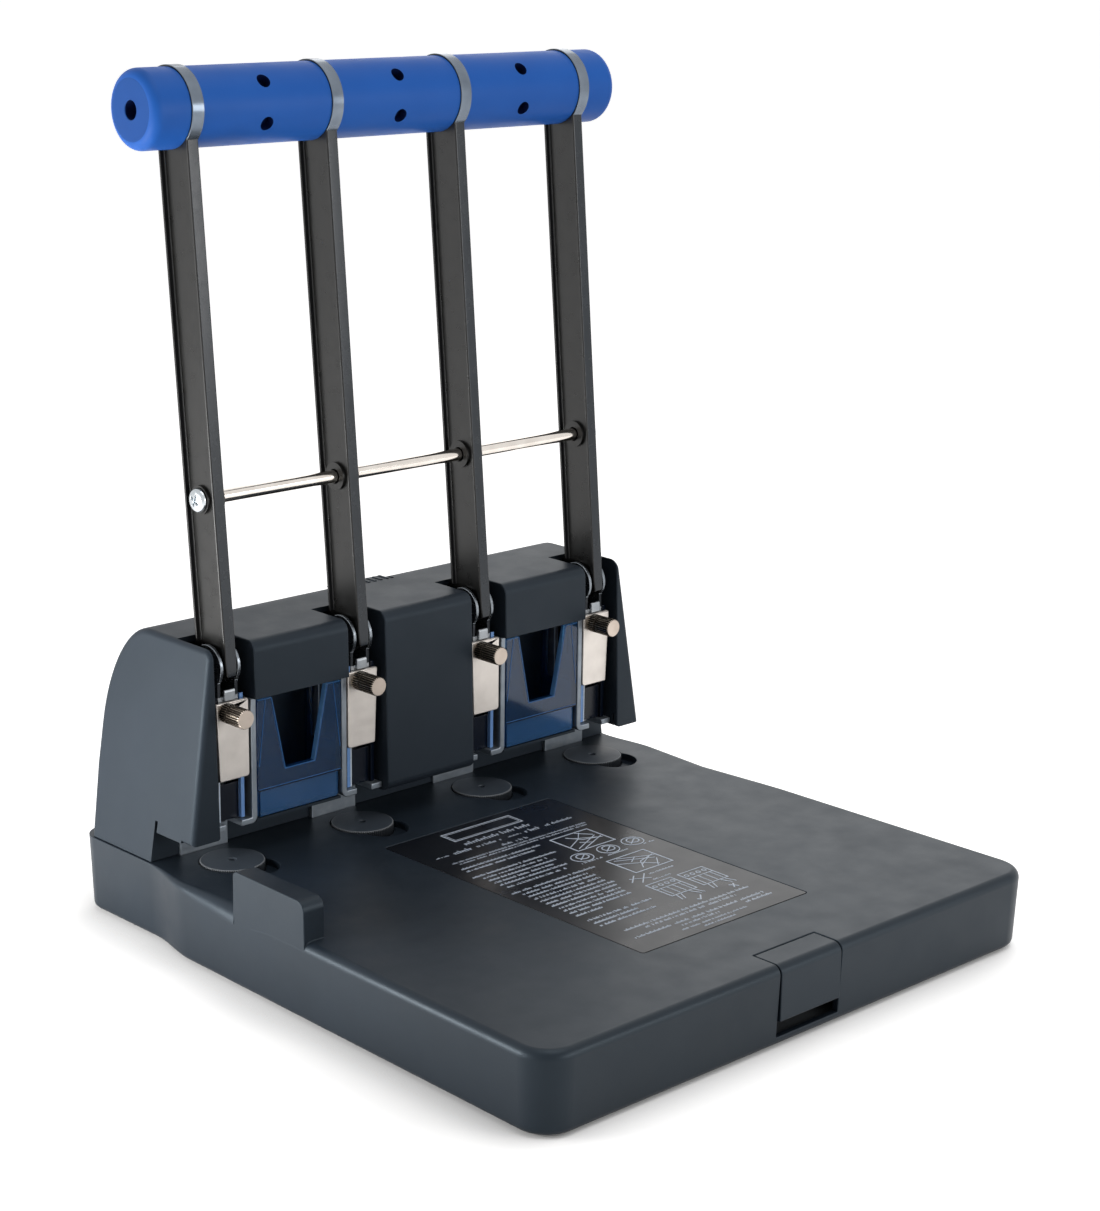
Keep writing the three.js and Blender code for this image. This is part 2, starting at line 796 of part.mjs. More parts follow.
function tieRod() {
  const half = unitCentres[3] + leverHalf + rodBossProud;
  const tap = screwLength + fit;
  const bar = rodX(-half, half, rodY, rodZ, rodRadius, smallFacets);
  const left = rodX(-half - over, -half + tap, rodY, rodZ, rodTap + fit, smallFacets);
  const right = rodX(half - tap, half + over, rodY, rodZ, rodTap + fit, smallFacets);
  return bar.subtract(left).subtract(right);
}

function rodScrew(side) {
  const seat = fit;
  const profile = [
    [0, -screwLength],
    [rodTap, -screwLength],
    [rodTap, seat],
    [screwHeadRadius, seat],
    [screwHeadRadius * 0.94, seat + screwHeadHeight * 0.45],
    [screwHeadRadius * 0.75, seat + screwHeadHeight * 0.8],
    [screwHeadRadius * 0.4, seat + screwHeadHeight],
    [0, seat + screwHeadHeight],
  ];
  const shape = turned(profile, smallFacets);
  shape.rotateZ((-side * Math.PI) / 2);
  shape.translate(side * (unitCentres[3] + leverHalf + rodBossProud), rodY, rodZ);
  return toBody(shape);
}

// Clevis that straddles the lever nose and takes the crank pin in a cross slot
function yoke(x) {
  const ears = [];
  [-1, 1].forEach((side) => {
    const x0 = x + side * (carrierHalf - yokePlate);
    const x1 = x + side * carrierHalf;
    const disc = rodX(x0, x1, crankPinY, crankPinZ, yokeRadius, roundFacets);
    const stem = box(x0, x1, yokeStemY, yokeBackY, yokeLow, crankPinZ);
    ears.push(disc.add(stem).subtract(box(x0 - over, x1 + over, yokeBackY, 2 * over, yokeLow, 2 * crankPinZ)));
  });
  const base = box(x - carrierHalf, x + carrierHalf, yokeStemY, yokeBackY, yokeLow, yokeLow + yokeBase);
  const curl = [
    [tongueY, yokeLow + tongueLift],
    [yokeStemY + tongueCurl, yokeLow + tongueLift],
    [yokeStemY + tongueCurl, yokeLow + yokeBase - tongueTip],
    [tongueY + tongueThick, yokeLow + yokeBase],
    [tongueY + tongueThick, tongueTop - tongueCurl],
    [tongueY + tongueThick - tongueTip, tongueTop],
    [tongueY + tongueTip, tongueTop],
    [tongueY, tongueTop - tongueCurl],
  ].map(([y, z]) => new THREE.Vector2(y, z));
  const tongue = toBody(slabX(curl, x - tongueHalf, x + tongueHalf));
  const swing = crankRadius * (1 - Math.cos(THREE.MathUtils.degToRad(crankRestDegrees)));
  const play = crankPinRadius + 2 * fit;
  const slot = joinAll([
    rodX(x - over, x + over, crankPinY, crankPinZ, play, smallFacets),
    rodX(x - over, x + over, crankPinY - swing, crankPinZ, play, smallFacets),
    box(x - over, x + over, crankPinY - swing, crankPinY, crankPinZ - play, crankPinZ + play),
  ]);
  return joinAll([...ears, base, tongue]).subtract(slot);
}

function carrier(x, side) {
  const block = box(x - carrierHalf, x + carrierHalf, carrierFrontY, carrierBackY, carrierLow, carrierTop);
  const boss = box(x - carrierHalf, x + carrierHalf, carrierBossY, carrierBackY, carrierBossLow, carrierTop);
  const bore = rodZ_(x, punchY, carrierLow - fit, chuteHigh, punchRadius + fit, smallFacets);
  const chute = box(
    x, x + side * (carrierHalf + fit), punchY - punchRadius, punchY + punchRadius, chuteLow + fit, chuteHigh,
  );
  const tap = rodY_(x + knobX, -over, shankEndY + fit, knobZ, shankRadius + fit, smallFacets);
  return block.add(boss).subtract(bore).subtract(chute).subtract(tap);
}

function clampPlate(x) {
  const shape = outline([
    [x - plateHalfLow, plateLow, plateRoundLow],
    [x + plateHalfLow, plateLow, plateRoundLow],
    [x + plateHalfTop, plateTop, plateRoundTop],
    [x - plateHalfTop, plateTop, plateRoundTop],
  ]);
  const hole = rodY_(x + knobX, -over, over, knobZ, shankRadius + fit, smallFacets);
  return toBody(slabY(shape, plateFrontY, clampBackY)).subtract(hole);
}

function thumbScrew(x) {
  const seat = -plateFrontY + fit;
  const face = -knobFaceY;
  const groove = -knobGrooveY;
  const deep = knobRadius - knobGrooveDepth;
  const profile = [
    [0, -shankEndY],
    [shankRadius, -shankEndY],
    [shankRadius, seat],
    [knobRadius - knobChamfer, seat],
    [knobRadius, seat + knobChamfer],
    [knobRadius, groove],
    [deep, groove + knobGrooveDepth / 2],
    [deep, groove + knobGroove],
    [knobRadius, groove + knobGroove + knobGrooveDepth / 2],
    [knobRadius, face - knobChamfer],
    [knobRadius - knobChamfer, face],
    [0, face],
  ];
  const shape = turned(profile, smallFacets + 4);
  shape.rotateX(Math.PI);
  shape.translate(x + knobX, 0, knobZ);
  return toBody(shape);
}

function punch(x) {
  const profile = [
    [punchBore, punchTip],
    [punchEdge, punchTip],
    [punchRadius, punchTip + punchTaper],
    [punchRadius, chuteLow],
    [punchBore, chuteLow],
    [punchBore, punchTip],
  ];
  const shape = turned(profile, smallFacets);
  shape.rotateX(Math.PI / 2);
  shape.translate(x, punchY, 0);
  return toBody(shape);
}

function guide(x, side) {
  const low = throatTop + frameSteel + fit;
  const backY = guideBackY + guideBackThick;
  const block = box(x - guideOuter, x + guideOuter, guideFrontY, backY, low, guideTop);
  const channel = box(
    x - guideInner, x + guideInner, guideApronY + guideApronThick, guideBackY, low - fit, guideTop + fit,
  );
  const recess = box(x - guideInner, x + guideInner, -over, guideApronY, low - fit, guideTop + fit);
  const mouth = box(
    x - guideInner, x + guideInner, -over, guideApronY + 2 * guideApronThick, guideApron, guideTop + fit,
  );
  const crown = box(x - over, x + over, guideRearY, 2 * over, guideRearTop, guideTop + fit);
  const window = box(
    x + side * (guideInner - fit), x + side * (guideOuter + fit), windowNear, windowFar, windowLow, windowHigh,
  );
  return block.subtract(joinAll([channel, recess, mouth, crown, window]));
}

class Coil extends THREE.Curve {
  getPoint(t, target = new THREE.Vector3()) {
    const turn = t * springTurns * 2 * Math.PI;
    const rise = springLow + springWire + t * (springHigh - springLow - 2 * springWire);
    return target.set(springRadius * Math.cos(turn), springRadius * Math.sin(turn), rise);
  }
}

function spring(x) {
  const wire = Array.from({ length: coilSides }, (_, i) => {
    const turn = (i / coilSides) * 2 * Math.PI;
    return new THREE.Vector2(springWire * Math.cos(turn), springWire * Math.sin(turn));
  });
  const path = { steps: springTurns * coilSteps, extrudePath: new Coil(), bevelEnabled: false };
  const shape = new THREE.ExtrudeGeometry(new THREE.Shape(wire), path);
  shape.translate(x, punchY, 0);
  return toBody(shape);
}

function disc(x) {
  const profile = [
    [discHole, discLow],
    [discRadius - discChamfer, discLow],
    [discRadius, discLow + discChamfer],
    [discRadius, discTop - discChamfer],
    [discRadius - discChamfer, discTop],
    [discHole, discTop],
    [discHole, discLow],
  ];
  const shape = turned(profile, roundFacets + 4);
  shape.rotateX(Math.PI / 2);
  shape.translate(x, 0, 0);
  return toBody(shape);
}

function bin(x) {
  const front = binFrontY;
  const outer = box(x - binHalf, x + binHalf, front, binBackY, binLow, binTop);
  const inner = box(
    x - binHalf + binWall, x + binHalf - binWall, front + binFrontThick, binBackY - binWall,
    binLow + binWall, binTop + fit,
  );
  const notch = [
    [x - notchLowHalf, notchLow],
    [x + notchLowHalf, notchLow],
    [x + notchTopHalf, binTop + fit],
    [x - notchTopHalf, binTop + fit],
  ].map(([u, v]) => new THREE.Vector2(u, v));
  const gate = toBody(slabY(notch, front - over, front + binFrontThick + fit));
  const step = box(x - over - binHalf, x + over + binHalf, front - over, front + binStep, binLow - fit, binLedgeZ);
  const cuts = [gate, step];
  [-1, 1].forEach((side) => {
    const x0 = x + side * (binHalf - binInsetSide);
    cuts.push(box(x0, x + side * 2 * binHalf, front - fit, front + 2 * binStep, binLow - fit, binLedgeZ));
    cuts.push(box(
      x + side * (binHalf - 2 * binWall), x + side * 2 * binHalf, front + 2 * binFrontThick,
      windowFar + windowNear, windowLow, binTop + fit,
    ));
  });
  const open = joinAll(cuts);
  return outer.subtract(inner).subtract(open);
}

// Colours of the separate pieces
const paints = {
  moulding: { color: 0x3f474f, roughness: 0.55, metalness: 0 },
  coverMoulding: { color: 0x4a5056, roughness: 0.55, metalness: 0 },
  plateSteel: { color: 0x55585c, roughness: 0.5, metalness: 0.6 },
  rubber: { color: 0x1c1c1d, roughness: 0.9, metalness: 0 },
  panel: { color: 0x1d2026, roughness: 0.35, metalness: 0 },
  zinc: { color: 0xa9adaf, roughness: 0.4, metalness: 0.8 },
  shaftSteel: { color: 0x9b9c9d, roughness: 0.3, metalness: 0.9 },
  leverPaint: { color: 0x2a2b2d, roughness: 0.3, metalness: 0.1 },
  gripBlue: { color: 0x26569f, roughness: 0.4, metalness: 0 },
  polished: { color: 0xc9c2b8, roughness: 0.15, metalness: 1 },
  nickel: { color: 0xcfc8bf, roughness: 0.35, metalness: 0.8 },
  knurled: { color: 0x8f867a, roughness: 0.4, metalness: 0.8 },
  darkSteel: { color: 0x6d7073, roughness: 0.35, metalness: 0.9 },
  discPlastic: { color: 0x4b4e52, roughness: 0.6, metalness: 0 },
  guideBlue: { color: 0x2f5f9c, roughness: 0.3, metalness: 0 },
  binBlue: { color: 0x2a4a6e, roughness: 0.2, metalness: 0 },
  springSteel: { color: 0x8d9093, roughness: 0.35, metalness: 0.9 },
};

const pieces = [];
function piece(name, body, paint) {
  pieces.push({ name, body, paint });
}

piece('base_moulding', baseShell(), 'moulding');
piece('bottom_plate', bottomPlate(), 'plateSteel');
piece('foot_front_left', foot(footInset - baseHalfFront, footFrontY), 'rubber');
piece('foot_front_right', foot(baseHalfFront - footInset, footFrontY), 'rubber');
piece('foot_back_left', foot(footInset - baseHalfRear, footBackY), 'rubber');
piece('foot_back_right', foot(baseHalfRear - footInset, footBackY), 'rubber');
piece('label_panel', label(), 'panel');
piece('front_drawer', drawer(), 'moulding');
piece('top_cover', cover(), 'coverMoulding');
piece('pivot_shaft', shaft(), 'shaftSteel');
piece('blue_grip', grip(), 'gripBlue');
piece('tie_rod', tieRod(), 'polished');
piece('rod_screw_left', rodScrew(-1), 'polished');
piece('rod_screw_right', rodScrew(1), 'polished');
unitCentres.forEach((x, i) => {
  const side = binSides[i];
  const tag = i + 1;
  piece(`frame_${tag}`, frame(x, side), 'zinc');
  piece(`lever_arm_${tag}`, lever(x), 'leverPaint');
  piece(`yoke_${tag}`, yoke(x), 'zinc');
  piece(`carrier_${tag}`, carrier(x, side), 'darkSteel');
  piece(`clamp_plate_${tag}`, clampPlate(x), 'nickel');
  piece(`thumb_screw_${tag}`, thumbScrew(x), 'knurled');
  piece(`punch_${tag}`, punch(x), 'darkSteel');
  piece(`slide_guide_${tag}`, guide(x, side), 'guideBlue');
  piece(`return_spring_${tag}`, spring(x), 'springSteel');
  piece(`cutting_disc_${tag}`, disc(x), 'discPlastic');
});
piece('chip_bin_left', bin(binCentres[0]), 'binBlue');
piece('chip_bin_right', bin(binCentres[1]), 'binBlue');

// Shift so the middle of the feet plane is the origin
const shiftY = (baseFront - baseBack) / 2;
const shiftZ = baseHeight + footProud;
const punchMachine = new THREE.Group();
punchMachine.name = 'lever_punch';
pieces.forEach(({ name, body, paint }) => {
  const data = body.getMesh();
  const shape = new THREE.BufferGeometry();
  shape.setAttribute('position', new THREE.BufferAttribute(new Float32Array(data.vertProperties), 3));
  shape.setIndex(new THREE.BufferAttribute(new Uint32Array(data.triVerts), 1));
  shape.translate(0, shiftY, shiftZ);
  shape.computeVertexNormals();
  const mesh = new THREE.Mesh(shape, new THREE.MeshStandardMaterial(paints[paint]));
  mesh.name = name;
  punchMachine.add(mesh);
});

export default punchMachine;
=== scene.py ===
"""Looks of a four lever bench punch: pieces, finishes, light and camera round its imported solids."""

from math import atan2, cos, hypot, pi, radians, sin, tan

import bmesh
import bpy
from mathutils import Matrix, Vector

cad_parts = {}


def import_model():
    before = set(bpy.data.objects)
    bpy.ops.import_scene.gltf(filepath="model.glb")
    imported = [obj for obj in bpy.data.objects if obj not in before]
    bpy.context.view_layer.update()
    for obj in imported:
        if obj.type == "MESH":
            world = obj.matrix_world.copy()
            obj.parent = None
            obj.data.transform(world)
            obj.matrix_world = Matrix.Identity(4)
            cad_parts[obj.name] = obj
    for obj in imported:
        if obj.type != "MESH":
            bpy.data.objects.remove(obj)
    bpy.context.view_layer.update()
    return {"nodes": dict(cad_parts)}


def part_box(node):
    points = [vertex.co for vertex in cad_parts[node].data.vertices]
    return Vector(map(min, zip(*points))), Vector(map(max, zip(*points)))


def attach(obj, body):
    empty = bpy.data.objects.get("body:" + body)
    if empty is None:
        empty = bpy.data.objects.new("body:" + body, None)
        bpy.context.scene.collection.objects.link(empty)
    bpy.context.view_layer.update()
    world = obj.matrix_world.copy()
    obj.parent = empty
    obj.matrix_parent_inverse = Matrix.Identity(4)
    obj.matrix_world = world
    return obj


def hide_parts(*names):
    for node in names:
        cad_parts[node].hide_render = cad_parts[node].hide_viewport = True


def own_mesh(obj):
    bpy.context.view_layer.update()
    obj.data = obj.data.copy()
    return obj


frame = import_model()


# Lengths are millimetres from the middle of the hole row at table height
SHIFT = (0.0, 89.0, 39.2)
UNITS = (-120.0, -40.0, 40.0, 120.0)
BINS = (-80.0, 80.0)
# The side of each unit that faces a chip bin
BIN_SIDES = (1, -1, 1, -1)
# Places (y, z) of what runs across the punch
PIVOT = (23.29, 87.25)
PIN = (9.0, 95.5)
TIE_ROD = (13.8, 174.2)
GRIP_MIDDLE = (33.8, 351.0)
SHAFT_BORE = 4.8
# Place (x, z) of a thumb screw from its unit
KNOB = (-3.6, 75.2)


def at(x, y, z):
    return Vector(((x + SHIFT[0]) / 1000, (y + SHIFT[1]) / 1000, (z + SHIFT[2]) / 1000))


# ---- mesh helpers ----
def new_object(name, mesh):
    obj = bpy.data.objects.new(name, mesh)
    bpy.context.scene.collection.objects.link(obj)
    return obj


def from_bmesh(name, bm):
    bmesh.ops.recalc_face_normals(bm, faces=bm.faces)
    mesh = bpy.data.meshes.new(name)
    bm.to_mesh(mesh)
    bm.free()
    return new_object(name, mesh)


def from_rings(name, rings, closed=False):
    """A closed body through rings of equal count, capped at both ends or joined end to end."""
    bm = bmesh.new()
    rows = [[bm.verts.new(at(*p)) for p in ring] for ring in rings]
    count = len(rows[0])
    last = len(rows) if closed else len(rows) - 1
    for i in range(last):
        low, high = rows[i], rows[(i + 1) % len(rows)]
        for k in range(count):
            m = (k + 1) % count
            bm.faces.new((low[k], low[m], high[m], high[k]))
    if not closed:
        bm.faces.new(rows[0])
        bm.faces.new(rows[-1])
    bmesh.ops.remove_doubles(bm, verts=bm.verts, dist=1e-7)
    return from_bmesh(name, bm)


def put(axis, w, u, v):
    return {"x": (w, u, v), "y": (u, w, v), "z": (u, v, w)}[axis]


def prism(name, points, axis, low, high):
    return from_rings(name, [[put(axis, w, u, v) for u, v in points] for w in (low, high)])


def span(side, near, far, middle=0.0):
    """Two places on one side of a middle, the lower first."""
    return sorted((middle + side * near, middle + side * far))


def block(name, x0, x1, y0, y1, z0, z1):
    return prism(name, [(x0, y0), (x1, y0), (x1, y1), (x0, y1)], "z", z0, z1)


def beam(name, x, half, y0, y1, z0, z1):
    """A block centred on x."""
    return block(name, x - half, x + half, y0, y1, z0, z1)


def round_outline(points, steps):
    """An outline of (u, v, radius) corners with each corner rounded in steps."""
    out = []
    count = len(points)
    for i, (u, v, radius) in enumerate(points):
        here = Vector((u, v))
        if radius <= 0:
            out.append((u, v))
            continue
        back = (Vector(points[i - 1][:2]) - here).normalized()
        ahead = (Vector(points[(i + 1) % count][:2]) - here).normalized()
        half = back.angle(ahead) / 2
        middle = here + (back + ahead).normalized() * (radius / sin(half))
        start = here + back * (radius / tan(half)) - middle
        end = here + ahead * (radius / tan(half)) - middle
        sweep = atan2(start.x * end.y - start.y * end.x, start.dot(end))
        for k in range(steps + 1):
            turn = sweep * k / steps
            c, s = cos(turn), sin(turn)
            out.append((middle.x + start.x * c - start.y * s, middle.y + start.x * s + start.y * c))
    return out


def rounded(name, points, steps, axis, low, high):
    return prism(name, round_outline(points, steps), axis, low, high)


def slab(name, u0, u1, v0, v1, radius, steps, axis, low, high):
    """A block with its four corners rounded as seen along the axis."""
    points = [(u0, v0, radius), (u1, v0, radius), (u1, v1, radius), (u0, v1, radius)]
    return rounded(name, points, steps, axis, low, high)


def rod(name, axis, low, high, u, v, radius, count=64):
    turns = [2 * pi * k / count for k in range(count)]
    circle = [(u + radius * cos(turn), v + radius * sin(turn)) for turn in turns]
    return prism(name, circle, axis, low, high)


def lathe(name, profile, axis, u, v, count, wave=None, closed=False):
    """Turns (radius, height) pairs about an axis; wave changes the radius with angle."""
    rings = []
    for index, (radius, height) in enumerate(profile):
        ring = []
        for k in range(count):
            turn = 2 * pi * k / count
            r = max(radius + (wave(index, k) if wave else 0.0), 0.001)
            ring.append(put(axis, height, u + r * cos(turn), v + r * sin(turn)))
        rings.append(ring)
    return from_rings(name, rings, closed)


def settle(obj):
    graph = bpy.context.evaluated_depsgraph_get()
    mesh = bpy.data.meshes.new_from_object(obj.evaluated_get(graph))
    old = obj.data
    obj.modifiers.clear()
    obj.data = mesh
    bpy.data.meshes.remove(old)


def combine(obj, tools, operation):
    for tool in tools:
        step = obj.modifiers.new("join", "BOOLEAN")
        step.operation = operation
        step.solver = "MANIFOLD"
        step.object = tool
        settle(obj)
        mesh = tool.data
        bpy.data.objects.remove(tool)
        bpy.data.meshes.remove(mesh)
    return obj


def add(obj, *tools):
    return combine(obj, tools, "UNION")


def cut(obj, *tools):
    return combine(obj, tools, "DIFFERENCE")


def keep(obj, *tools):
    return combine(obj, tools, "INTERSECT")


def crisp(mesh, crease=34.0):
    """Smooth shading that breaks at every corner sharper than crease degrees."""
    mesh.polygons.foreach_set("use_smooth", [True] * len(mesh.polygons))
    mesh.set_sharp_from_angle(angle=radians(crease))


def smooth(obj, crease=34.0):
    """Smooth shading that keeps flat faces flat and corners crisp."""
    crisp(obj.data, crease)
    even = obj.modifiers.new("even", "WEIGHTED_NORMAL")
    even.keep_sharp = True
    even.weight = 60
    return obj


def paint(obj, finishes, choose):
    """Gives each face the finish whose number choose returns for its middle and normal in part lengths."""
    mesh = obj.data
    mesh.materials.clear()
    for finish in finishes:
        mesh.materials.append(finish)
    for face in mesh.polygons:
        c = face.center
        place = (c.x * 1000 - SHIFT[0], c.y * 1000 - SHIFT[1], c.z * 1000 - SHIFT[2])
        face.material_index = choose(place, face.normal)
    return obj


def soften(obj, width, segments=2, angle=34.0):
    """Small rounded edges and smooth shading, with flat faces kept flat."""
    edge = obj.modifiers.new("edge", "BEVEL")
    edge.width = width / 1000
    edge.segments = segments
    edge.limit_method = "ANGLE"
    edge.angle_limit = radians(angle)
    edge.use_clamp_overlap = False
    edge.miter_outer = "MITER_ARC"
    return smooth(obj, 40.0)


def dress(obj, body, slot, *nodes, material=None):
    """Joins a piece to its body and puts it in the place of CAD nodes; the slot is not used."""
    if material:
        obj.data.materials.clear()
        obj.data.materials.append(material)
    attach(obj, body)
    if nodes:
        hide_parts(*nodes)


# ---- materials ----
def linear(red, green, blue):
    def one(value):
        value /= 255
        return value / 12.92 if value <= 0.04045 else ((value + 0.055) / 1.055) ** 2.4

    return (one(red), one(green), one(blue), 1.0)


def fill(node, **values):
    """Sets unlinked inputs of a shader node."""
    for key, value in values.items():
        node.inputs[key.replace("_", " ")].default_value = value
    return node


class Finish:
    """A procedural material; the noise between START and END makes the change of each property."""
    START, END = 0.3, 0.7

    def __init__(self, name):
        self.material = bpy.data.materials.new("mat_" + name)
        self.material.use_nodes = True
        self.tree = self.material.node_tree
        self.shader = self.tree.nodes["Principled BSDF"]
        self.place = self.tree.nodes.new("ShaderNodeTexCoord").outputs["Object"]

    def node(self, kind, **values):
        return fill(self.tree.nodes.new("ShaderNode" + kind), **values)

    def link(self, source, target):
        self.tree.links.new(source, target)

    def feed(self, source, key):
        self.link(source, self.shader.inputs[key])

    def done(self, **values):
        fill(self.shader, **values)
        return self.material

    def stretched(self, scale):
        mapping = self.node("Mapping", Scale=scale)
        self.link(self.place, mapping.inputs["Vector"])
        return mapping.outputs["Vector"]

    def noise(self, scale, detail=3.0, vector=None):
        made = self.node("TexNoise", Scale=scale, Detail=detail, Roughness=0.55)
        self.link(vector or self.place, made.inputs["Vector"])
        return made.outputs["Fac"]

    def spread(self, source, low, high):
        made = self.node("MapRange", From_Min=self.START, From_Max=self.END, To_Min=low, To_Max=high)
        self.link(source, made.inputs["Value"])
        return made.outputs["Result"]

    def tint(self, source, low, high):
        ramp = self.node("ValToRGB")
        for stop, place, colour in zip(ramp.color_ramp.elements, (self.START, self.END), (low, high)):
            stop.position = place
            stop.color = colour
        self.link(source, ramp.inputs["Fac"])
        return ramp.outputs["Color"]

    def bump(self, source, distance, strength, below=None):
        made = self.node("Bump", Strength=strength, Distance=distance / 1000)
        self.link(source, made.inputs["Height"])
        if below:
            self.link(below, made.inputs["Normal"])
        return made.outputs["Normal"]


def moulded(name, low, high, roughness, grain, specular=0.5, sheen=(1, 1, 1)):
    """Moulded plastic with a fine eroded grain and soft cloudy colour."""
    finish = Finish(name)
    finish.feed(finish.tint(finish.noise(14, 4), linear(*low), linear(*high)), "Base Color")
    finish.feed(finish.spread(finish.noise(60, 4), *roughness), "Roughness")
    fine = finish.bump(finish.noise(2600, 2), grain, 0.35)
    finish.feed(finish.bump(finish.noise(420), grain * 1.5, 0.12, fine), "Normal")
    return finish.done(Specular_IOR_Level=specular, Specular_Tint=(*sheen, 1))


def metal(name, low, high, roughness, brush=(60, 60, 2400), depth=0.01, value=1.0):
    """Worked metal with fine directional lines and faint cloudy tone."""
    finish = Finish(name)
    finish.feed(finish.tint(finish.noise(90, 4), linear(*low), linear(*high)), "Base Color")
    lines = finish.noise(1, 2, finish.stretched(brush))
    finish.feed(finish.spread(lines, *roughness), "Roughness")
    finish.feed(finish.bump(lines, depth, 0.4), "Normal")
    return finish.done(Metallic=value)


def painted(name, low, high, roughness):
    """Stoved paint on pressed steel with slight orange peel."""
    finish = Finish(name)
    finish.feed(finish.tint(finish.noise(30, 4), linear(*low), linear(*high)), "Base Color")
    finish.feed(finish.spread(finish.noise(140), *roughness), "Roughness")
    finish.feed(finish.bump(finish.noise(900, 2), 0.02, 0.25), "Normal")
    return finish.done(Specular_IOR_Level=0.36)


def clear_plastic(name, colour, roughness, transmission):
    """Tinted clear plastic with a faint flow in its face."""
    finish = Finish(name)
    shade = finish.tint(finish.noise(20, 2), linear(*colour), linear(*[v * 1.08 for v in colour]))
    finish.feed(shade, "Base Color")
    finish.feed(finish.spread(finish.noise(50), roughness, roughness * 2), "Roughness")
    finish.feed(finish.bump(finish.noise(160, 2), 0.03, 0.15), "Normal")
    return finish.done(Transmission_Weight=transmission, IOR=1.5)


# Painted reflection colour: a blue tint on the reflections of the dark table and hood mouldings
BLUE_REFLECTION_TINT = (0.72, 0.88, 1.0)
UPRIGHT = (60, 60, 900)
MOULDING = moulded("moulding", (21, 27, 34), (27, 34, 42), (0.38, 0.46), 0.035, 0.3, BLUE_REFLECTION_TINT)
HOOD = moulded("hood", (28, 34, 41), (34, 40, 48), (0.44, 0.52), 0.035, 0.24, BLUE_REFLECTION_TINT)
PANEL = moulded("panel", (9, 11, 16), (13, 15, 21), (0.26, 0.34), 0.01, 0.25)
PRINT = moulded("print", (176, 188, 205), (205, 214, 226), (0.4, 0.5), 0.01, 0.3)
RUBBER = moulded("rubber", (26, 26, 27), (34, 34, 35), (0.75, 0.85), 0.06, 0.3)
DISC = moulded("disc", (52, 59, 67), (62, 69, 77), (0.4, 0.5), 0.02, 0.35)
# Painted shade: a darker copy of the disc colour for the knurled sides
DISC_SIDE_SHADE = moulded("disc_side_shade", (24, 28, 33), (32, 36, 41), (0.4, 0.5), 0.02, 0.35)
# Painted highlight: a light grey for the top edge of each disc's rim
DISC_RIM_HIGHLIGHT = moulded("disc_rim_highlight", (104, 108, 112), (126, 130, 134), (0.5, 0.6), 0.02, 0.4)
GRIP = moulded("grip", (34, 92, 178), (40, 100, 188), (0.42, 0.5), 0.02, 0.16)
# Painted shade: a darker copy of the grip colour for the flat ends of the grip
GRIP_END_SHADE = moulded("grip_end_shade", (26, 74, 146), (31, 82, 156), (0.42, 0.5), 0.02, 0.16)
# Painted shade: a dark blue for the faces inside the drilled holes and the end recesses of the grip
GRIP_HOLE_SHADE = moulded("grip_hole_shade", (8, 24, 66), (11, 29, 76), (0.5, 0.6), 0.02, 0.2)
LEVER = painted("lever", (15, 15, 14), (21, 21, 20), (0.26, 0.34))
# Painted reflection: a bluish copy of the lever paint for the front faces of the web
LEVER_WEB_REFLECTION = painted("lever_web_reflection", (30, 37, 44), (37, 44, 51), (0.22, 0.3))
# Painted shade: a darker copy of the lever paint for the front faces of the folded lips
LEVER_LIP_SHADE = painted("lever_lip_shade", (12, 13, 15), (18, 19, 21), (0.3, 0.4))
STRAP = metal("strap", (104, 114, 126), (124, 134, 146), (0.14, 0.22), (60, 60, 60), 0.002, 0.7)
CHASSIS = painted("bottom_plate", (74, 77, 80), (86, 89, 92), (0.45, 0.55))
ZINC = metal("zinc", (120, 128, 137), (146, 154, 162), (0.34, 0.48), UPRIGHT, 0.006, 0.8)
TONGUE = metal("tongue", (136, 141, 146), (160, 164, 168), (0.34, 0.44), (60, 60, 600), 0.005, 0.8)
YOKE = metal("yoke", (92, 97, 103), (118, 123, 129), (0.24, 0.34), UPRIGHT, 0.005, 0.9)
# Painted highlight: a lighter copy of the yoke metal for the curved rims of the ears
YOKE_RIM_HIGHLIGHT = metal("yoke_rim_highlight", (112, 118, 124), (136, 142, 148), (0.2, 0.3), UPRIGHT, 0.005, 0.9)
# Painted shade: a dark copy of the yoke metal for the front faces of the stems and clevis
YOKE_STEM_SHADE = metal("yoke_stem_shade", (34, 37, 41), (48, 51, 55), (0.3, 0.4), UPRIGHT, 0.005, 0.8)
NICKEL = metal("nickel", (210, 203, 196), (224, 217, 210), (0.36, 0.46), (50, 50, 260), 0.003, 0.75)
KNURL = metal("knurl", (172, 159, 143), (200, 188, 172), (0.24, 0.34), (900, 60, 900), 0.006, 0.95)
# Painted shade: a dark copy of the knurl metal for the bottoms of the knurl grooves
KNURL_FURROW_SHADE = metal("knurl_furrow_shade", (44, 38, 32), (58, 51, 44), (0.35, 0.5), (900, 60, 900), 0.006, 0.8)
FACE = metal("knob_face", (184, 170, 158), (206, 193, 181), (0.32, 0.44), (200, 200, 200), 0.003, 0.8)
POLISHED = metal("polished", (214, 206, 198), (232, 226, 219), (0.08, 0.16), (30, 900, 900), 0.004)
SCREW = metal("screw", (190, 196, 200), (215, 219, 222), (0.14, 0.24))
STEEL = metal("dark_steel", (96, 99, 103), (122, 125, 128), (0.28, 0.4))
SPRING = metal("spring", (150, 153, 156), (176, 178, 180), (0.2, 0.3))
SHAFT = metal("shaft", (140, 142, 144), (160, 162, 164), (0.2, 0.3), (30, 900, 900))
BIN = clear_plastic("bin", (44, 98, 150), 0.05, 0.8)
BIN_LOW = clear_plastic("bin_low", (62, 122, 184), 0.08, 0.62)
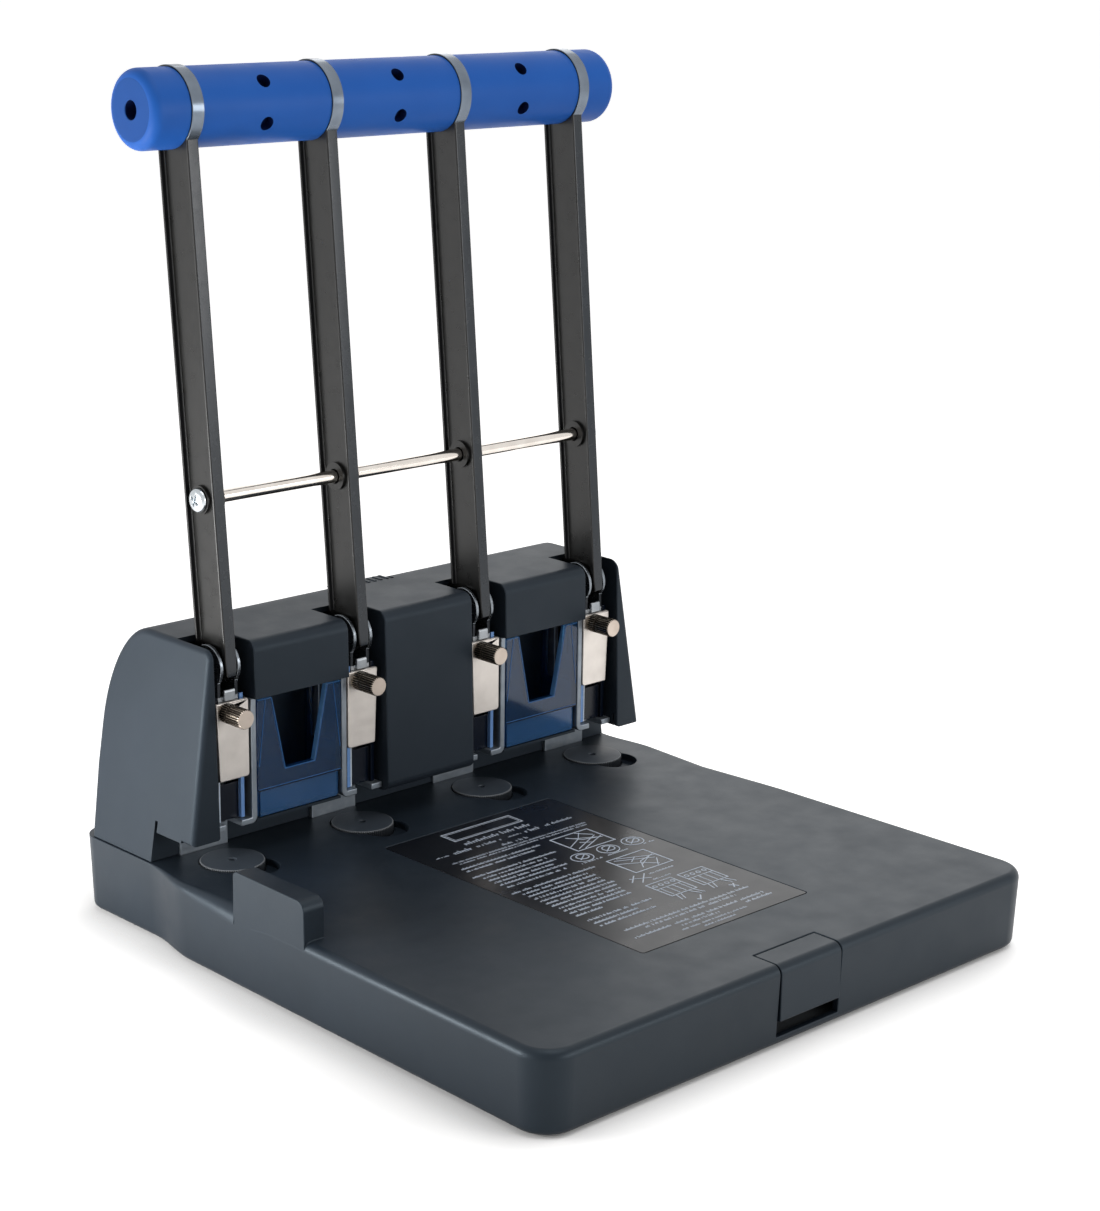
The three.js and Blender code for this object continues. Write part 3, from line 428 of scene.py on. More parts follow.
# Painted highlight: a light clear blue for the top rims, the ledge top and the notch sides of the bins
BIN_EDGE_HIGHLIGHT = clear_plastic("bin_edge_highlight", (118, 180, 240), 0.08, 0.4)
# Painted highlight: light blue lines laid on the edges of each bin's notch and ledge
BIN_LINE_HIGHLIGHT = moulded("bin_line_highlight", (44, 92, 148), (56, 108, 168), (0.25, 0.35), 0.01, 0.3)
BIN_SHADE = moulded("bin_shade", (7, 14, 25), (11, 20, 34), (0.2, 0.3), 0.01, 0.3)
# Painted shade: a dark navy for the body of each slide guide
SLIDE_CHANNEL_SHADE = moulded("guide_channel_shade", (5, 12, 24), (9, 18, 34), (0.16, 0.24), 0.01, 0.3)
# Painted highlight: a light blue for the bin-side front edges of the slide guides
SLIDE_EDGE_HIGHLIGHT = moulded("guide", (104, 146, 206), (122, 164, 220), (0.2, 0.3), 0.01)
# Painted highlight: a near white line on a thin ridge of each slide guide
SLIDE_RIDGE_HIGHLIGHT = moulded("guide_ridge_highlight", (196, 210, 226), (220, 230, 240), (0.2, 0.3), 0.01)


# ---- table moulding ----
BASE_LOW = -38.0
DRAFT = 1.6 / 38
# Half widths at the rear, where the flare ends and at the front, and the y places of these
REAR_HALF, FLARE_HALF, FRONT_HALF = 151.5, 157.0, 161.5
REAR, FLARE_START, FLARE_END, FRONT = 82.0, 24.0, -12.0, -260.0
# The top edge's radius at the hood, where the roll is widest and at the front
RIM_START, RIM_WIDE, RIM_FRONT = 0.35, 8.55, 4.5
WALL_FRONT = -50.5
TABLE_WALL = 3.2
FOOT_EDGE = 3
# Middle (x, y) of a disc's finger pocket from the disc
POCKET = (3.5, -13)


def base_plan():
    flare = []
    for k in range(13):
        swing = (1 - cos(pi * k / 12)) / 2
        place = FLARE_START + (FLARE_END - FLARE_START) * k / 12
        flare.append((REAR_HALF + (FLARE_HALF - REAR_HALF) * swing, place, 0.0))
    straight = [
        (FLARE_HALF + (FRONT_HALF - FLARE_HALF) * (FLARE_END - y) / (FLARE_END - FRONT), y, 0.0)
        for y in (-24, -36, -50.5, -53, -64, -76, -90, -103, -105, -120)
    ]
    side = [(REAR_HALF, REAR, 12.0)] + flare + straight + [(FRONT_HALF, FRONT, 17.0)]
    left = [(-x, y, r) for x, y, r in side]
    return round_outline(side[::-1] + left, 10)


def rim_radius(x, y):
    """The soft top edge grows from nothing at the hood to a wide roll by the stop wall."""
    if y >= FLARE_START:
        return RIM_START
    if y >= WALL_FRONT:
        return RIM_START + (RIM_WIDE - RIM_START) * (FLARE_START - y) / (FLARE_START - WALL_FRONT)
    ease = 26 if x < 0 and y > -104 else 50
    return RIM_WIDE + (RIM_FRONT - RIM_WIDE) * min((WALL_FRONT - y) / ease, 1)


def outward(points):
    """The outward direction at each point of an outline."""
    around = zip([points[-1]] + points, points[1:] + [points[0]])
    return [Vector((y1 - y0, x0 - x1)).normalized() for (x0, y0), (x1, y1) in around]


def inset_plan(points, amount):
    return [(x - n.x * amount, y - n.y * amount) for (x, y), n in zip(points, outward(points))]


def base_moulding():
    """The table, lofted as rings round its plan, with its stop wall, recesses, slots and drawer mouth."""
    plan = base_plan()
    normals = outward(plan)
    sections = []
    for turn in (0, 30, 60, 90):
        t = radians(turn)
        low = BASE_LOW + FOOT_EDGE * (1 - cos(t))
        sections.append([(DRAFT * -low + FOOT_EDGE * (1 - sin(t)), low)] * len(plan))
    for k in range(9):
        t = pi / 2 * k / 8
        row = []
        for x, y in plan:
            r = rim_radius(x, y)
            row.append((DRAFT * r * (1 - sin(t)) + r * (1 - cos(t)), -r * (1 - sin(t))))
        sections.append(row)
    rings = [
        [(x - n.x * inset, y - n.y * inset, z) for (x, y), n, (inset, z) in zip(plan, normals, row)]
        for row in sections
    ]
    base = from_rings("table_moulding", rings)
    inner = inset_plan(plan, TABLE_WALL - DRAFT * BASE_LOW)
    cut(base, prism("hollow", inner, "z", BASE_LOW - 20, -TABLE_WALL))
    for x in UNITS:
        add(base, rod("cup", "z", -8.2, -1.5, x, 0, 18.9), rod("cup", "z", -8.2, -1.5, x + POCKET[0], POCKET[1], 15))
    tall = []
    for low in (-10.0, 22.0):
        shrink = DRAFT * max(-low, 0)
        tall.append([(x, y, low) for x, y in inset_plan(plan, shrink)])
    side = [(-103, -9.5, 0), (WALL_FRONT, -9.5, 0), (WALL_FRONT, 19, 3), (-103, 19, 5)]
    wall = rounded("wall", side, 8, "x", -170, -147)
    keep(wall, from_rings("wall_side", tall))
    add(base, wall)
    for x in UNITS:
        cut(
            base,
            rod("seat", "z", -5.5, 20, x, 0, 15.9, 96),
            rod("pocket", "z", -3.8, 20, x + POCKET[0], POCKET[1], 12, 72),
            beam("frame_slot", x, 14.3, 21.8, 25.4, -20, 20),
        )
    cut(
        base,
        beam("drawer_mouth", 0, 20.5, -290, -242.9, -33.7, 20),
        slab("label_seat", -54.8, 54.8, -209.7, -34.5, 1.8, 4, "z", -1.2, 10),
    )
    for x in UNITS:
        add(base, rod("spigot", "z", -6, 0.2, x, 0, 1.3, 24))
    return soften(base, 0.35, angle=38)


def raised_lines(name, quads, place, foot, top, step):
    """Thin slabs on a face, each from its four corners and a step higher than the one before."""
    bm = bmesh.new()
    for order, quad in enumerate(quads):
        low = [bm.verts.new(place(u, v, foot)) for u, v in quad]
        high = [bm.verts.new(place(u, v, top + step * order)) for u, v in quad]
        bm.faces.new(low[::-1])
        bm.faces.new(high)
        for k in range(4):
            bm.faces.new((low[k], low[(k + 1) % 4], high[(k + 1) % 4], high[k]))
    return from_bmesh(name, bm)


def stroke(x0, y0, x1, y1, wide):
    away = Vector((y0 - y1, x1 - x0)).normalized() * wide / 2
    return [
        (x0 + away.x, y0 + away.y), (x0 - away.x, y0 - away.y),
        (x1 - away.x, y1 - away.y), (x1 + away.x, y1 + away.y),
    ]


def outlined(x0, x1, y0, y1, wide):
    """The frame of a rectangle."""
    w = wide / 2
    return [
        stroke(x0, y0 + w, x1, y0 + w, wide), stroke(x0, y1 - w, x1, y1 - w, wide),
        stroke(x0 + w, y0 + wide, x0 + w, y1 - wide, wide), stroke(x1 - w, y0 + wide, x1 - w, y1 - wide, wide),
    ]


def oval(x, y, across, along, wide, count=20):
    turns = [2 * pi * k / count for k in range(count)]
    spots = [(x + across * cos(t), y + along * sin(t)) for t in turns]
    return [stroke(*spots[k], *spots[(k + 1) % count], wide) for k in range(count)]


def ticks(x0, x1, y, tall, wide, seed):
    """A row of short upright marks with gaps, the texture of small print without any letter."""
    out = []
    x, k = x0, seed
    while x < x1 - wide:
        k += 1
        if k % (5 + (k * 7 + seed) % 4):
            high = tall * (0.62 + 0.38 * ((k * 5 + seed) % 3 == 0))
            out.append(stroke(x, y, x, y + high, wide))
            if (k + seed) % 3:
                out.append(stroke(x, y + 0.5 * tall, x + 1.6 * wide, y + 0.5 * tall, wide * 0.7))
        x += 2.3 * wide
    return out


PANEL_HALF, PANEL_TOP = 54.5, -34.8
# Rows of marks: x from, x to, y, height, stroke
PANEL_ROWS = (
    (-22, 21, -58, 3.6, 0.75), (-46, -38, -63.6, 1.5, 0.35), (-34.5, -22, -64.3, 3.4, 0.7), (-20, -3, -64, 2.6, 0.5),
    (0.5, 9, -63.6, 1.5, 0.35), (12, 23, -64.3, 3.4, 0.7), (25.5, 43.5, -64, 2.6, 0.5), (-10.3, 8.8, -70.3, 2.4, 0.5),
    (-44.5, 43.5, -73.5, 1.6, 0.3), (-42, 43, -76, 1.6, 0.3), (-42, 40, -186.6, 2, 0.4), (-32, 29, -190, 2, 0.4),
    (-44.5, -22, -195.8, 2, 0.4), (-19, 22, -195.8, 2, 0.4), (24.7, 40.5, -195.8, 2, 0.45), (-19, 7, -199.2, 2, 0.4),
    (24.7, 41.8, -199.2, 2, 0.45), (-22, 21, -203, 1.5, 0.3), (-11, 9.7, -206.3, 1.5, 0.3), (2, 15.5, -114, 1.5, 0.4),
    (19.5, 33, -114, 1.5, 0.4), (44, 51, -114, 1.5, 0.4), (16.5, 33, -144.5, 1.5, 0.3), (12, 24.7, -151, 1.5, 0.3),
)
# Rows of the left column: distance below the panel's top and end, in sixths of a millimetre
PANEL_COLUMN = (
    (278, 355), (300, 315), (348, 355), (370, 295), (394, 310), (417, 275), (440, 310), (465, 282), (510, 355),
    (533, 300), (556, 310), (580, 305), (604, 300), (627, 315), (650, 300), (674, 290), (697, 285), (720, 285),
    (745, 148), (790, 295), (815, 220), (838, 262),
)
PANEL_HEADS = (348, 510)


def panel_picture(x0, y0, turn):
    """A framed sketch of plain slanted strokes, upside down for turn -1."""
    tall = 20.5
    out = outlined(x0, x0 + 25.5, y0 - tall, y0, 0.6)
    start = y0 if turn > 0 else y0 - tall
    for u0, v0, u1, v1 in (
        (1, -14, 12, -8), (12, -8, 18, -2), (8, -3, 13, -10), (13, -10, 24, -13), (3, -18, 22, -9),
        (6, -19.4, 24, -11.5), (10, -6, 21, -12), (16, -1, 22, -8), (9, -12, 15, -16),
    ):
        out.append(stroke(x0 + u0, start + v0 * turn, x0 + u1, start + v1 * turn, 0.45))
    return out


def panel_sheet(x0, y0):
    """A framed sketch of a sheet with four holes in a row."""
    out = outlined(x0, x0 + 17, y0 - 17.7, y0, 0.45)
    out.append(stroke(x0 + 0.5, y0 - 7.5, x0 + 16.5, y0 - 7.5, 0.4))
    for k in range(4):
        x = x0 + 2.6 + 3.95 * k
        out += oval(x, y0 - 4, 1.0, 1.2, 0.45, 10)
        out.append(stroke(x, y0 - 7.5, x, y0 - 16.5, 0.35))
    for u0, u1 in ((2.5, 1), (5.5, 3), (11, 13.5), (14, 16)):
        out.append(stroke(x0 + u0, y0 - 17.9, x0 + u1, y0 - 23.5, 0.4))
    return out


def label_panel():
    panel = slab("instruction_panel", -PANEL_HALF, PANEL_HALF, -209.4, PANEL_TOP, 1.5, 6, "z", -0.9, 0)
    dress(soften(panel, 0.15), "body", "panel", "label_panel", material=PANEL)
    marks = outlined(-23.7, 21.8, -51.1, -39.8, 0.7) + outlined(-22.3, 20.4, -49.7, -41.2, 0.35)
    for order, (x0, x1, y, tall, wide) in enumerate(PANEL_ROWS):
        marks += ticks(x0, x1, y, tall, wide, order)
    for order, (down, right) in enumerate(PANEL_COLUMN):
        start, wide = (-49.5, 0.5) if down in PANEL_HEADS else (-46.2, 0.33)
        marks += ticks(start, right / 6 - PANEL_HALF, PANEL_TOP - down / 6 - 0.9, 1.9, wide, order)
    marks += panel_picture(12.2, -79.8, 1) + panel_picture(12.5, -118.7, -1)
    for x in (8, 25.5, 42.2):
        marks += oval(x, -107.3, 6.0, 5.2, 0.5) + oval(x + 0.8, -106.6, 3.4, 3.0, 0.6, 14)
        marks.append(stroke(x - 3, -109.5, x + 3.5, -105, 0.6))
    marks += [stroke(2, -147, 9, -141, 0.6), stroke(6, -150, 15, -142, 0.6), stroke(4, -143, 14, -148, 0.45)]
    marks += panel_sheet(3.8, -153.5) + panel_sheet(25.2, -153.5)
    marks += [stroke(10, -181, 11.2, -182.4, 0.7), stroke(11.2, -182.4, 15, -178.4, 0.7)]
    marks += [stroke(34, -178.6, 37.2, -182.4, 0.7), stroke(37.2, -178.6, 34, -182.4, 0.7)]
    dress(raised_lines("panel_print", marks, at, -0.03, 0.03, 0.00004), "body", "panel", material=PRINT)


def drawer():
    face = rounded("drawer_front", [
        (FRONT, -26.3, 0.8), (-257.6, -26.3, 0), (-257.6, -2.5, 0), (-243.6, -2.5, 0), (-243.6, -0.1, 0),
        (FRONT, -0.1, 4.5),
    ], 10, "x", -19.8, 19.8)
    tray = beam("tray", 0, 16.8, -258.8, -164, -26.3, -10.3)
    cut(tray, beam("tray_inside", 0, 14.4, -255.2, -166.4, -23.9, 10))
    add(face, tray)
    return soften(face, 0.3, angle=38)


# ---- hood ----
HOOD_HALF = 150.5
HOOD_TOP = 107.0
HOOD_BACK = 75.2
HOOD_EDGE = 2.8
SLOT_EDGE = 0.7
HOOD_WALL = 3
# Undersides of cheeks and block and of the shelves, and the inner roof
UNDERSIDE, SHELF, ROOF = 15, 16.6, 104
# Where the front meets the rear body, and the outer edge of the outer slots
SPLIT = 24.5
SLOT_SIDE = 131.5
# Shares: the sides draw in over the height, the front leans forward
HOOD_TAPER = 0.1136
HOOD_LEAN = 0.029
# Faces larger than this many square metres are flat
FLAT_AREA = 4e-5


def hood_profile(inset, low):
    """Side outline of the hood; its front leans toward the table and its back curves over in a long arc."""
    arc = [pi / 2 * k / 16 for k in range(17)]
    return round_outline([
        (-4.35 - HOOD_LEAN * (101.5 - low) + inset, low, 0),
        (HOOD_BACK - 0.06 * (36 - low) - inset, low, 0),
        (HOOD_BACK - inset, 36, 0),
    ] + [
        (46 + (29.2 - inset) * cos(t), 57 + (50 - inset) * sin(t), 0) for t in arc
    ] + [(-4.2 + inset, HOOD_TOP - inset, max(5.5 - inset, 0.6))], 14)


def hood_rib(name, x0, x1, edge0, edge1, wall=0.0, low=-20.0, tapered=True):
    """A slice of the hood between two x places, with its own rounded ends."""
    scale = HOOD_TAPER / HOOD_TOP if tapered else 0.0
    rings = []
    for side, (x, edge) in enumerate(((x0, edge0), (x1, edge1))):
        steps = range(9) if side == 0 else range(8, -1, -1)
        for k in steps:
            t = pi / 2 * k / 8
            inset = wall + edge * (1 - sin(t))
            place = x + (1 if side == 0 else -1) * edge * (1 - cos(t))
            rings.append([(place * (1 - scale * z), y, z) for y, z in hood_profile(inset, low)])
    return from_rings(name, rings)


def corner(name, x, z, way, radius):
    """Cutter that rounds a lower corner of the front as seen along Y."""
    far = 3.0
    points = [(x - way * far, z - far), (x + way * radius, z - far)]
    for k in range(7):
        turn = pi / 2 * k / 6
        points.append((x + way * radius * (1 - sin(turn)), z + radius * (1 - cos(turn))))
    points += [(x - way * far, z + radius)]
    return prism(name, points, "y", -12, 2)


def hood():
    """Two cheeks, two lintels and a middle block in front of one hollow rear body."""
    sides = (-HOOD_HALF, HOOD_HALF, HOOD_EDGE, HOOD_EDGE)
    edges = (SLOT_EDGE, SLOT_EDGE)
    body = hood_rib("hood", *sides)
    keep(body, beam("rear_box", 0, 200, 24, 200, -30, 200))
    fronts = [
        keep(hood_rib("cheek_left", *sides), hood_rib("left_part", -260, -SLOT_SIDE, 5, SLOT_EDGE, tapered=False)),
        hood_rib("lintel_left", -108.5, -51.5, *edges, tapered=False),
        hood_rib("block", -28.5, 28.5, *edges, tapered=False),
        hood_rib("lintel_right", 51.5, 108.5, *edges, tapered=False),
        keep(hood_rib("cheek_right", *sides), hood_rib("right_part", SLOT_SIDE, 260, SLOT_EDGE, 5, tapered=False)),
    ]
    add(body, *[keep(piece, beam("front_box", 0, 200, -200, SPLIT, -30, 200)) for piece in fronts])
    half = HOOD_HALF - HOOD_WALL
    inside = hood_rib("inside", -half, half, 1, 1, HOOD_WALL, -30)
    keep(inside, beam("inside_box", 0, 200, SPLIT, 200, -30, ROOF))
    front, back, low = -100, 23.5, -60
    cut(
        body,
        inside,
        beam("below", 0, 300, front, 200, low, 0.3),
        block("throat", -131, -28.7, front, back, low, SHELF),
        block("throat", 28.7, 131, front, back, low, SHELF),
        beam("block_low", 0, 28.8, front, back, low, UNDERSIDE),
        prism("block_round", [(-12, -5), (-1.6, -5), (-1.6, UNDERSIDE)] + [
            (-1.6 - 5 * sin(t), 20 - 5 * cos(t)) for t in (radians(15 * k) for k in range(1, 7))
        ] + [(-12, 20)], "x", -28.8, 28.8),
        beam("block_inside", 0, 26, -2, 30, 21, ROOF),
        rod("shaft_way", "x", -132.9, 132.9, *PIVOT, SHAFT_BORE, 32),
    )
    for x in BINS:
        cut(
            body,
            beam("bay", x, 28.8, front, 24.3, low, 79),
            beam("lintel_inside", x, 26, -2, 30, 81.5, ROOF),
        )
    for x in UNITS:
        cut(body, beam("open_back", x, 11.4, 20, 30, 17, ROOF))
    for side in (-1, 1):
        cut(body, block("relief", *span(side, 131.2, 200), 21.5, back, -1, 20.4))
        hollow = [(side * 133.7, -5), (side * 148.3, -5), (side * 134.2, 88), (side * 133.7, 88)]
        cut(
            body,
            prism("cheek_inside", hollow, "y", -3.4, 20),
            block("cheek_mouth", *span(side, 133.5, 146), -4.7, 5, -5, 24),
            block("cheek_gap", *span(side, 130, 134.5), -4.7, -3.1, -5, 22),
            block("cheek_low", *span(side, 130.9, 300), front, back, low, UNDERSIDE),
            corner("cheek_corner", side * 148.1, UNDERSIDE, -side, 2.6),
            corner("slot_corner", side * SLOT_SIDE, UNDERSIDE, side, 1.8),
        )
    cut(body, slab("badge_seat", -19, 19, 44, 56, 1.5, 4, "z", 106.4, 120))
    for x in BINS:
        add(body, beam("shelf", x, 25.7, -1, 61, SHELF, 17.9))
    smooth(body)
    for face in body.data.polygons:
        if face.area > FLAT_AREA:
            face.use_smooth = False
    return body


def hood_ribs():
    """Plain ribs in the shallow seat on top of the hood."""
    ribs = beam("hood_ribs", 0, 17.6, 45.4, 54.6, 106.2, 106.5)
    for k in range(9):
        x = -16 + 4 * k
        add(ribs, beam("rib", x, 0.7, 46.4, 53.6, 106.3, 106.95))
    return soften(ribs, 0.15)


# ---- lever frame ----
LEAN = 0.0905


def lever_front(z):
    return -0.9 + (z - 111.4) * LEAN


def channel(name, x):
    """Pressed U channel with rounded corners and its rear lips folded outward."""
    section = round_outline([
        (-5.8, 19.2, 0.3), (-5.8, 18.0, 0.3), (-3.3, 18.0, 0.6), (-3.3, 0, 0.9), (3.3, 0, 0.9), (3.3, 18.0, 0.6),
        (5.8, 18.0, 0.3), (5.8, 19.2, 0.3), (2.0, 19.2, 0.2), (2.0, 1.6, 0.5), (-2.0, 1.6, 0.5), (-2.0, 19.2, 0.2),
    ], 4)
    rings = [[(x + u, lever_front(z) + v, z) for u, v in section] for z in (100, 338)]
    body = from_rings(name, rings)
    front, rear = lever_front(106), lever_front(106) + 19.2
    side = [(front - 9, 106, 0), (rear, 106, 3.5), (rear + 30, 345, 0), (front - 9, 345, 0)]
    return keep(body, rounded("side", side, 6, "x", x - 20, x + 20))


def nose(x):
    """Narrow foot of the arm: a tapered face plate over a thinner core that runs back to the hub."""
    front = lever_front
    rings = []
    for z, half, back in ((91.6, 2.2, 0.9), (92.2, 2.7, 0.3), (94, 3.0, 0), (97, 3.2, 0), (100, 3.3, 0), (112, 3.3, 0)):
        low = front(z) + back
        high = front(z) + 2.2
        shape = round_outline([(x - half, low, 0.8), (x + half, low, 0.8), (x + half, high, 0), (x - half, high, 0)], 4)
        rings.append([(u, v, z) for u, v in shape])
    plate = from_rings("plate", rings)
    core = rounded("core", [
        (front(92.5) + 1, 92.5, 2), (PIVOT[0] - 4, PIVOT[1] - 6.9, 0), (PIVOT[0] + 4.8, PIVOT[1] + 6.4, 0),
        (front(114) + 18.6, 114, 0), (front(116) + 1, 116, 0),
    ], 6, "x", x - 2.7, x + 2.7)
    return add(plate, core)


def lever(index, x):
    arm = channel(f"lever_{index}", x)
    band = [(18.5, -3.3), (19.05, -3.3), (19.3, -3.05), (19.3, 3.05), (19.05, 3.3), (18.5, 3.3)]
    add(
        arm,
        nose(x),
        rod("boss", "x", x - 4.9, x + 4.9, *TIE_ROD, 6.8),
        rod("hub", "x", x - 8.4, x + 8.4, *PIVOT, 8.0),
        rod("crank", "x", x - 5.9, x + 5.9, *PIN, 2.5, 32),
        lathe("band", [(r, x + h) for r, h in band], "x", *GRIP_MIDDLE, 128, closed=True),
    )
    cut(
        arm,
        rod("grip_way", "x", x - 20, x + 20, *GRIP_MIDDLE, 18.5, 128),
        rod("bore", "x", x - 20, x + 20, *PIVOT, SHAFT_BORE, 32),
        rod("eye", "x", x - 20, x + 20, *TIE_ROD, 3.7, 32),
    )

    def part(place, normal):
        u, y, z = place[0] - x, place[1], place[2]
        reach = hypot(y - GRIP_MIDDLE[0], z - GRIP_MIDDLE[1])
        if z > 332 and reach > 19.15 and not (z < 338.2 and y < lever_front(z) + 1):
            return 1
        # Front faces of the folded lips get the painted shade
        if abs(u) > 3.3 and normal.y < -0.4 and z > 106 and abs(z - TIE_ROD[1]) > 7 and z < 338:
            return 2
        # Front faces of the web get the painted bluish reflection
        return 3 if normal.y < -0.9 and y < lever_front(z) + 1 else 0

    return paint(smooth(arm), (LEVER, STRAP, LEVER_LIP_SHADE, LEVER_WEB_REFLECTION), part)


def aimed(tool, turn, spot):
    """Turns a tool that was made round the zero point and moves it to its spot."""
    for step in (Matrix.Translation(-at(0, 0, 0)), turn, Matrix.Translation(spot)):
        tool.data.transform(step)
    return tool


def grip():
    half, radius, fillet = 143.3, 18.4, 5.0
    profile = [(0.0, -half + 10), (4.4, -half + 10), (4.4, -half + 0.3), (4.7, -half)]
    for k in range(11):
        t = pi / 2 * k / 10
        profile.append((radius - fillet + fillet * sin(t), -half + fillet * (1 - cos(t))))
    profile += [(r, -h) for r, h in profile[::-1]]
    body = lathe("grip_tube", profile, "x", *GRIP_MIDDLE, 160)
    for x in BINS + (0.0,):
        for degrees in (141.5, 205.5):
            turn = radians(degrees)
            across, up = cos(turn), sin(turn)
            aim = Vector((1, 0, 0)).rotation_difference(Vector((0, across, up))).to_matrix().to_4x4()
            spot = at(x, GRIP_MIDDLE[0] + radius * across, GRIP_MIDDLE[1] + radius * up)
            cut(body, aimed(rod("drill", "x", -5, 5, 0, 0, 3.5, 40), aim, spot))

    def part(place, normal):
        reach = hypot(place[1] - GRIP_MIDDLE[0], place[2] - GRIP_MIDDLE[1])
        # The flat ends get a painted shade and the recess in each end the dark painted shade of the holes
        if abs(place[0]) > half - 0.15:
            return 2 if reach > 4.5 else 1
        # Faces inside the drilled holes and the end recesses get the dark painted shade
        return 1 if reach < 17.9 and abs(place[0]) < half - 6 or reach < 4.6 else 0

    return paint(smooth(body), (GRIP, GRIP_HOLE_SHADE, GRIP_END_SHADE), part)


def tie_rod():
    return soften(rod("tie_bar", "x", -124.9, 124.9, *TIE_ROD, 3.1, 48), 0.3)


def rod_screw(name, side):
    start = side * 125.2
    head = [(0.0, 0.0), (5.8, 0.0), (5.8, 0.5), (5.5, 1.3), (4.8, 1.95), (3.7, 2.4), (2.2, 2.6), (0.0, 2.6)]
    profile = [(r, start + side * h) for r, h in head]
    body = lathe(name, profile, "x", *TIE_ROD, 64)
    for turn in (0.5, 0.5 + pi / 2):
        bar = beam("cross", 0, 3, -3.0, 3.0, -0.55, 0.55)
        cut(body, aimed(bar, Matrix.Rotation(turn, 4, "X"), at(side * 129.2, *TIE_ROD)))
    add(body, rod("shank", "x", *span(side, 113, 125.4), *TIE_ROD, 2, 24))
    return soften(body, 0.2)


# ---- punch units ----
def frame_steel(index, x):
    """Bent steel frame: one deep wall, one short wall, a foot, a rear web and an arm that holds the die."""
    side = BIN_SIDES[index - 1]
    half, inner, outer, ear = 14, 11, 11.2, 9
    back, foot, top, arm_low = 25.1, 16.6, 78.6, -12.1
    bend = rounded(f"frame_{index}_steel", [
        (x + side * half, top, 0), (x + side * inner, top, 0), (x + side * inner, foot + 3, 0.8),
        (x - side * outer, foot + 3, 0), (x - side * outer, foot, 0), (x + side * half, foot, 3.4),
    ], 8, "y", -1.9, back)
    short = span(-side, 8.9, outer, x)
    parts = [beam("web", x, half, 22.1, back, arm_low, 75), block("short", *short, 8, back, foot, top)]
    for low, high in (short, span(side, inner, half, x)):
        parts.append(block("neck", low, high, PIVOT[0] - ear, back, 69.6, PIVOT[1]))
        parts.append(rod("ear", "x", low, high, *PIVOT, ear, 64))
    parts.append(rounded("arm", [
        (x - half, -14, 5), (x + half, -14, 5), (x + half, back, 0), (x - half, back, 0),
    ], 8, "z", arm_low, -8.5))
    add(bend, *parts)
    cut(
        bend,
        beam("punch_way", x, 4.6, -20, 15.5, 16.3, 19.9),
        block("window", *span(side, 8.6, 14.3, x), 4, 16, 44, 72),
        rod("bore", "x", x - 28, x + 28, *PIVOT, SHAFT_BORE, 32),
    )
    return soften(bend, 0.4, angle=38)


def yoke(index, x):
    body = beam(f"clevis_{index}", x, 5.9, 1.2, 13.5, 79.1, 81.7)
    for side in (-1, 1):
        inner, outer = span(side, 4.1, 5.9, x)
        ear = rod("ear", "x", inner, outer, *PIN, 10.5, 96)
        add(ear, block("stem", inner, outer, 1.2, 13.5, 79.1, 95.5))
        cut(ear, block("flat", inner - 5, outer + 5, 13.5, 40, 60, 120))
        add(body, ear)
    tongue = rounded("tongue", [
        (-0.5, 79.9, 0.3), (2, 79.9, 0), (2, 81.2, 0), (1.2, 81.6, 0), (1.2, 84.2, 0.4), (0.9, 85.2, 0.5),
        (-0.1, 85.2, 0.5), (-0.5, 84.2, 0.6),
    ], 4, "x", x - 3.1, x + 3.1)
    add(body, tongue)
    cut(body, slab("pin_slot", PIN[0] - 5.3, PIN[0] + 3.1, 92.4, 98.6, 3.05, 8, "x", x - 20, x + 20))
    soften(body, 0.3)

    def part(place, normal):
        if place[1] < 1.3 and place[2] < 85.5 and abs(place[0] - x) < 3.4:
            return 1
        # The curved rims of the ears get the painted highlight
        if hypot(place[1] - PIN[0], place[2] - PIN[1]) > 10.2 and abs(normal.x) < 0.6 and place[2] > 88.5:
            return 2
        # Front faces of the stems and clevis get the painted shade
        return 3 if place[1] < 1.6 and place[2] < 90 else 0

    return paint(body, (YOKE, TONGUE, YOKE_RIM_HIGHLIGHT, YOKE_STEM_SHADE), part)


def clamp_plate(index, x):
    side = BIN_SIDES[index - 1]
    body = rounded(f"clamp_{index}", [
        (x - side * 7.2, 41, 0.7), (x + side * 9.9, 41, 1.7), (x + side * 9.8, 79.5, 0.8), (x - side * 8.8, 79.5, 0.8),
    ], 8, "y", -1.6, 0.4)
    cut(body, rod("hole", "y", -20, 20, x + KNOB[0], KNOB[1], 1.8, 24))
    return soften(body, 0.4, 3)


def thumb_screw(index, x):
    teeth, per_tooth = 26, 4
    profile = [
        (0.0, 8.0), (1.5, 8.0), (1.5, -1.9), (4.0, -1.9), (4.6, -2.3), (4.75, -2.7), (4.75, -6.9), (4.35, -7.2),
        (4.35, -8.0), (4.75, -8.3), (4.75, -16.9), (4.6, -17.3), (4.3, -17.6), (0.0, -17.6),
    ]
    knurled = {4, 5, 6, 9, 10, 11}

    def wave(row, k):
        return -0.42 if row in knurled and k % per_tooth in (0, 1) else 0.0

    body = lathe(f"knob_{index}", profile, "y", x + KNOB[0], KNOB[1], teeth * per_tooth, wave)
    smooth(body, 30)

    def part(place, normal):
        if place[1] < -17.35:
            return 1
        reach = hypot(place[0] - x - KNOB[0], place[2] - KNOB[1])
        # The bottoms of the knurl grooves and the neck between the two knurled bands get the painted shade
        return 2 if reach < 4.62 and -17.2 < place[1] < -2.2 else 0

    return paint(body, (KNURL, FACE, KNURL_FURROW_SHADE), part)


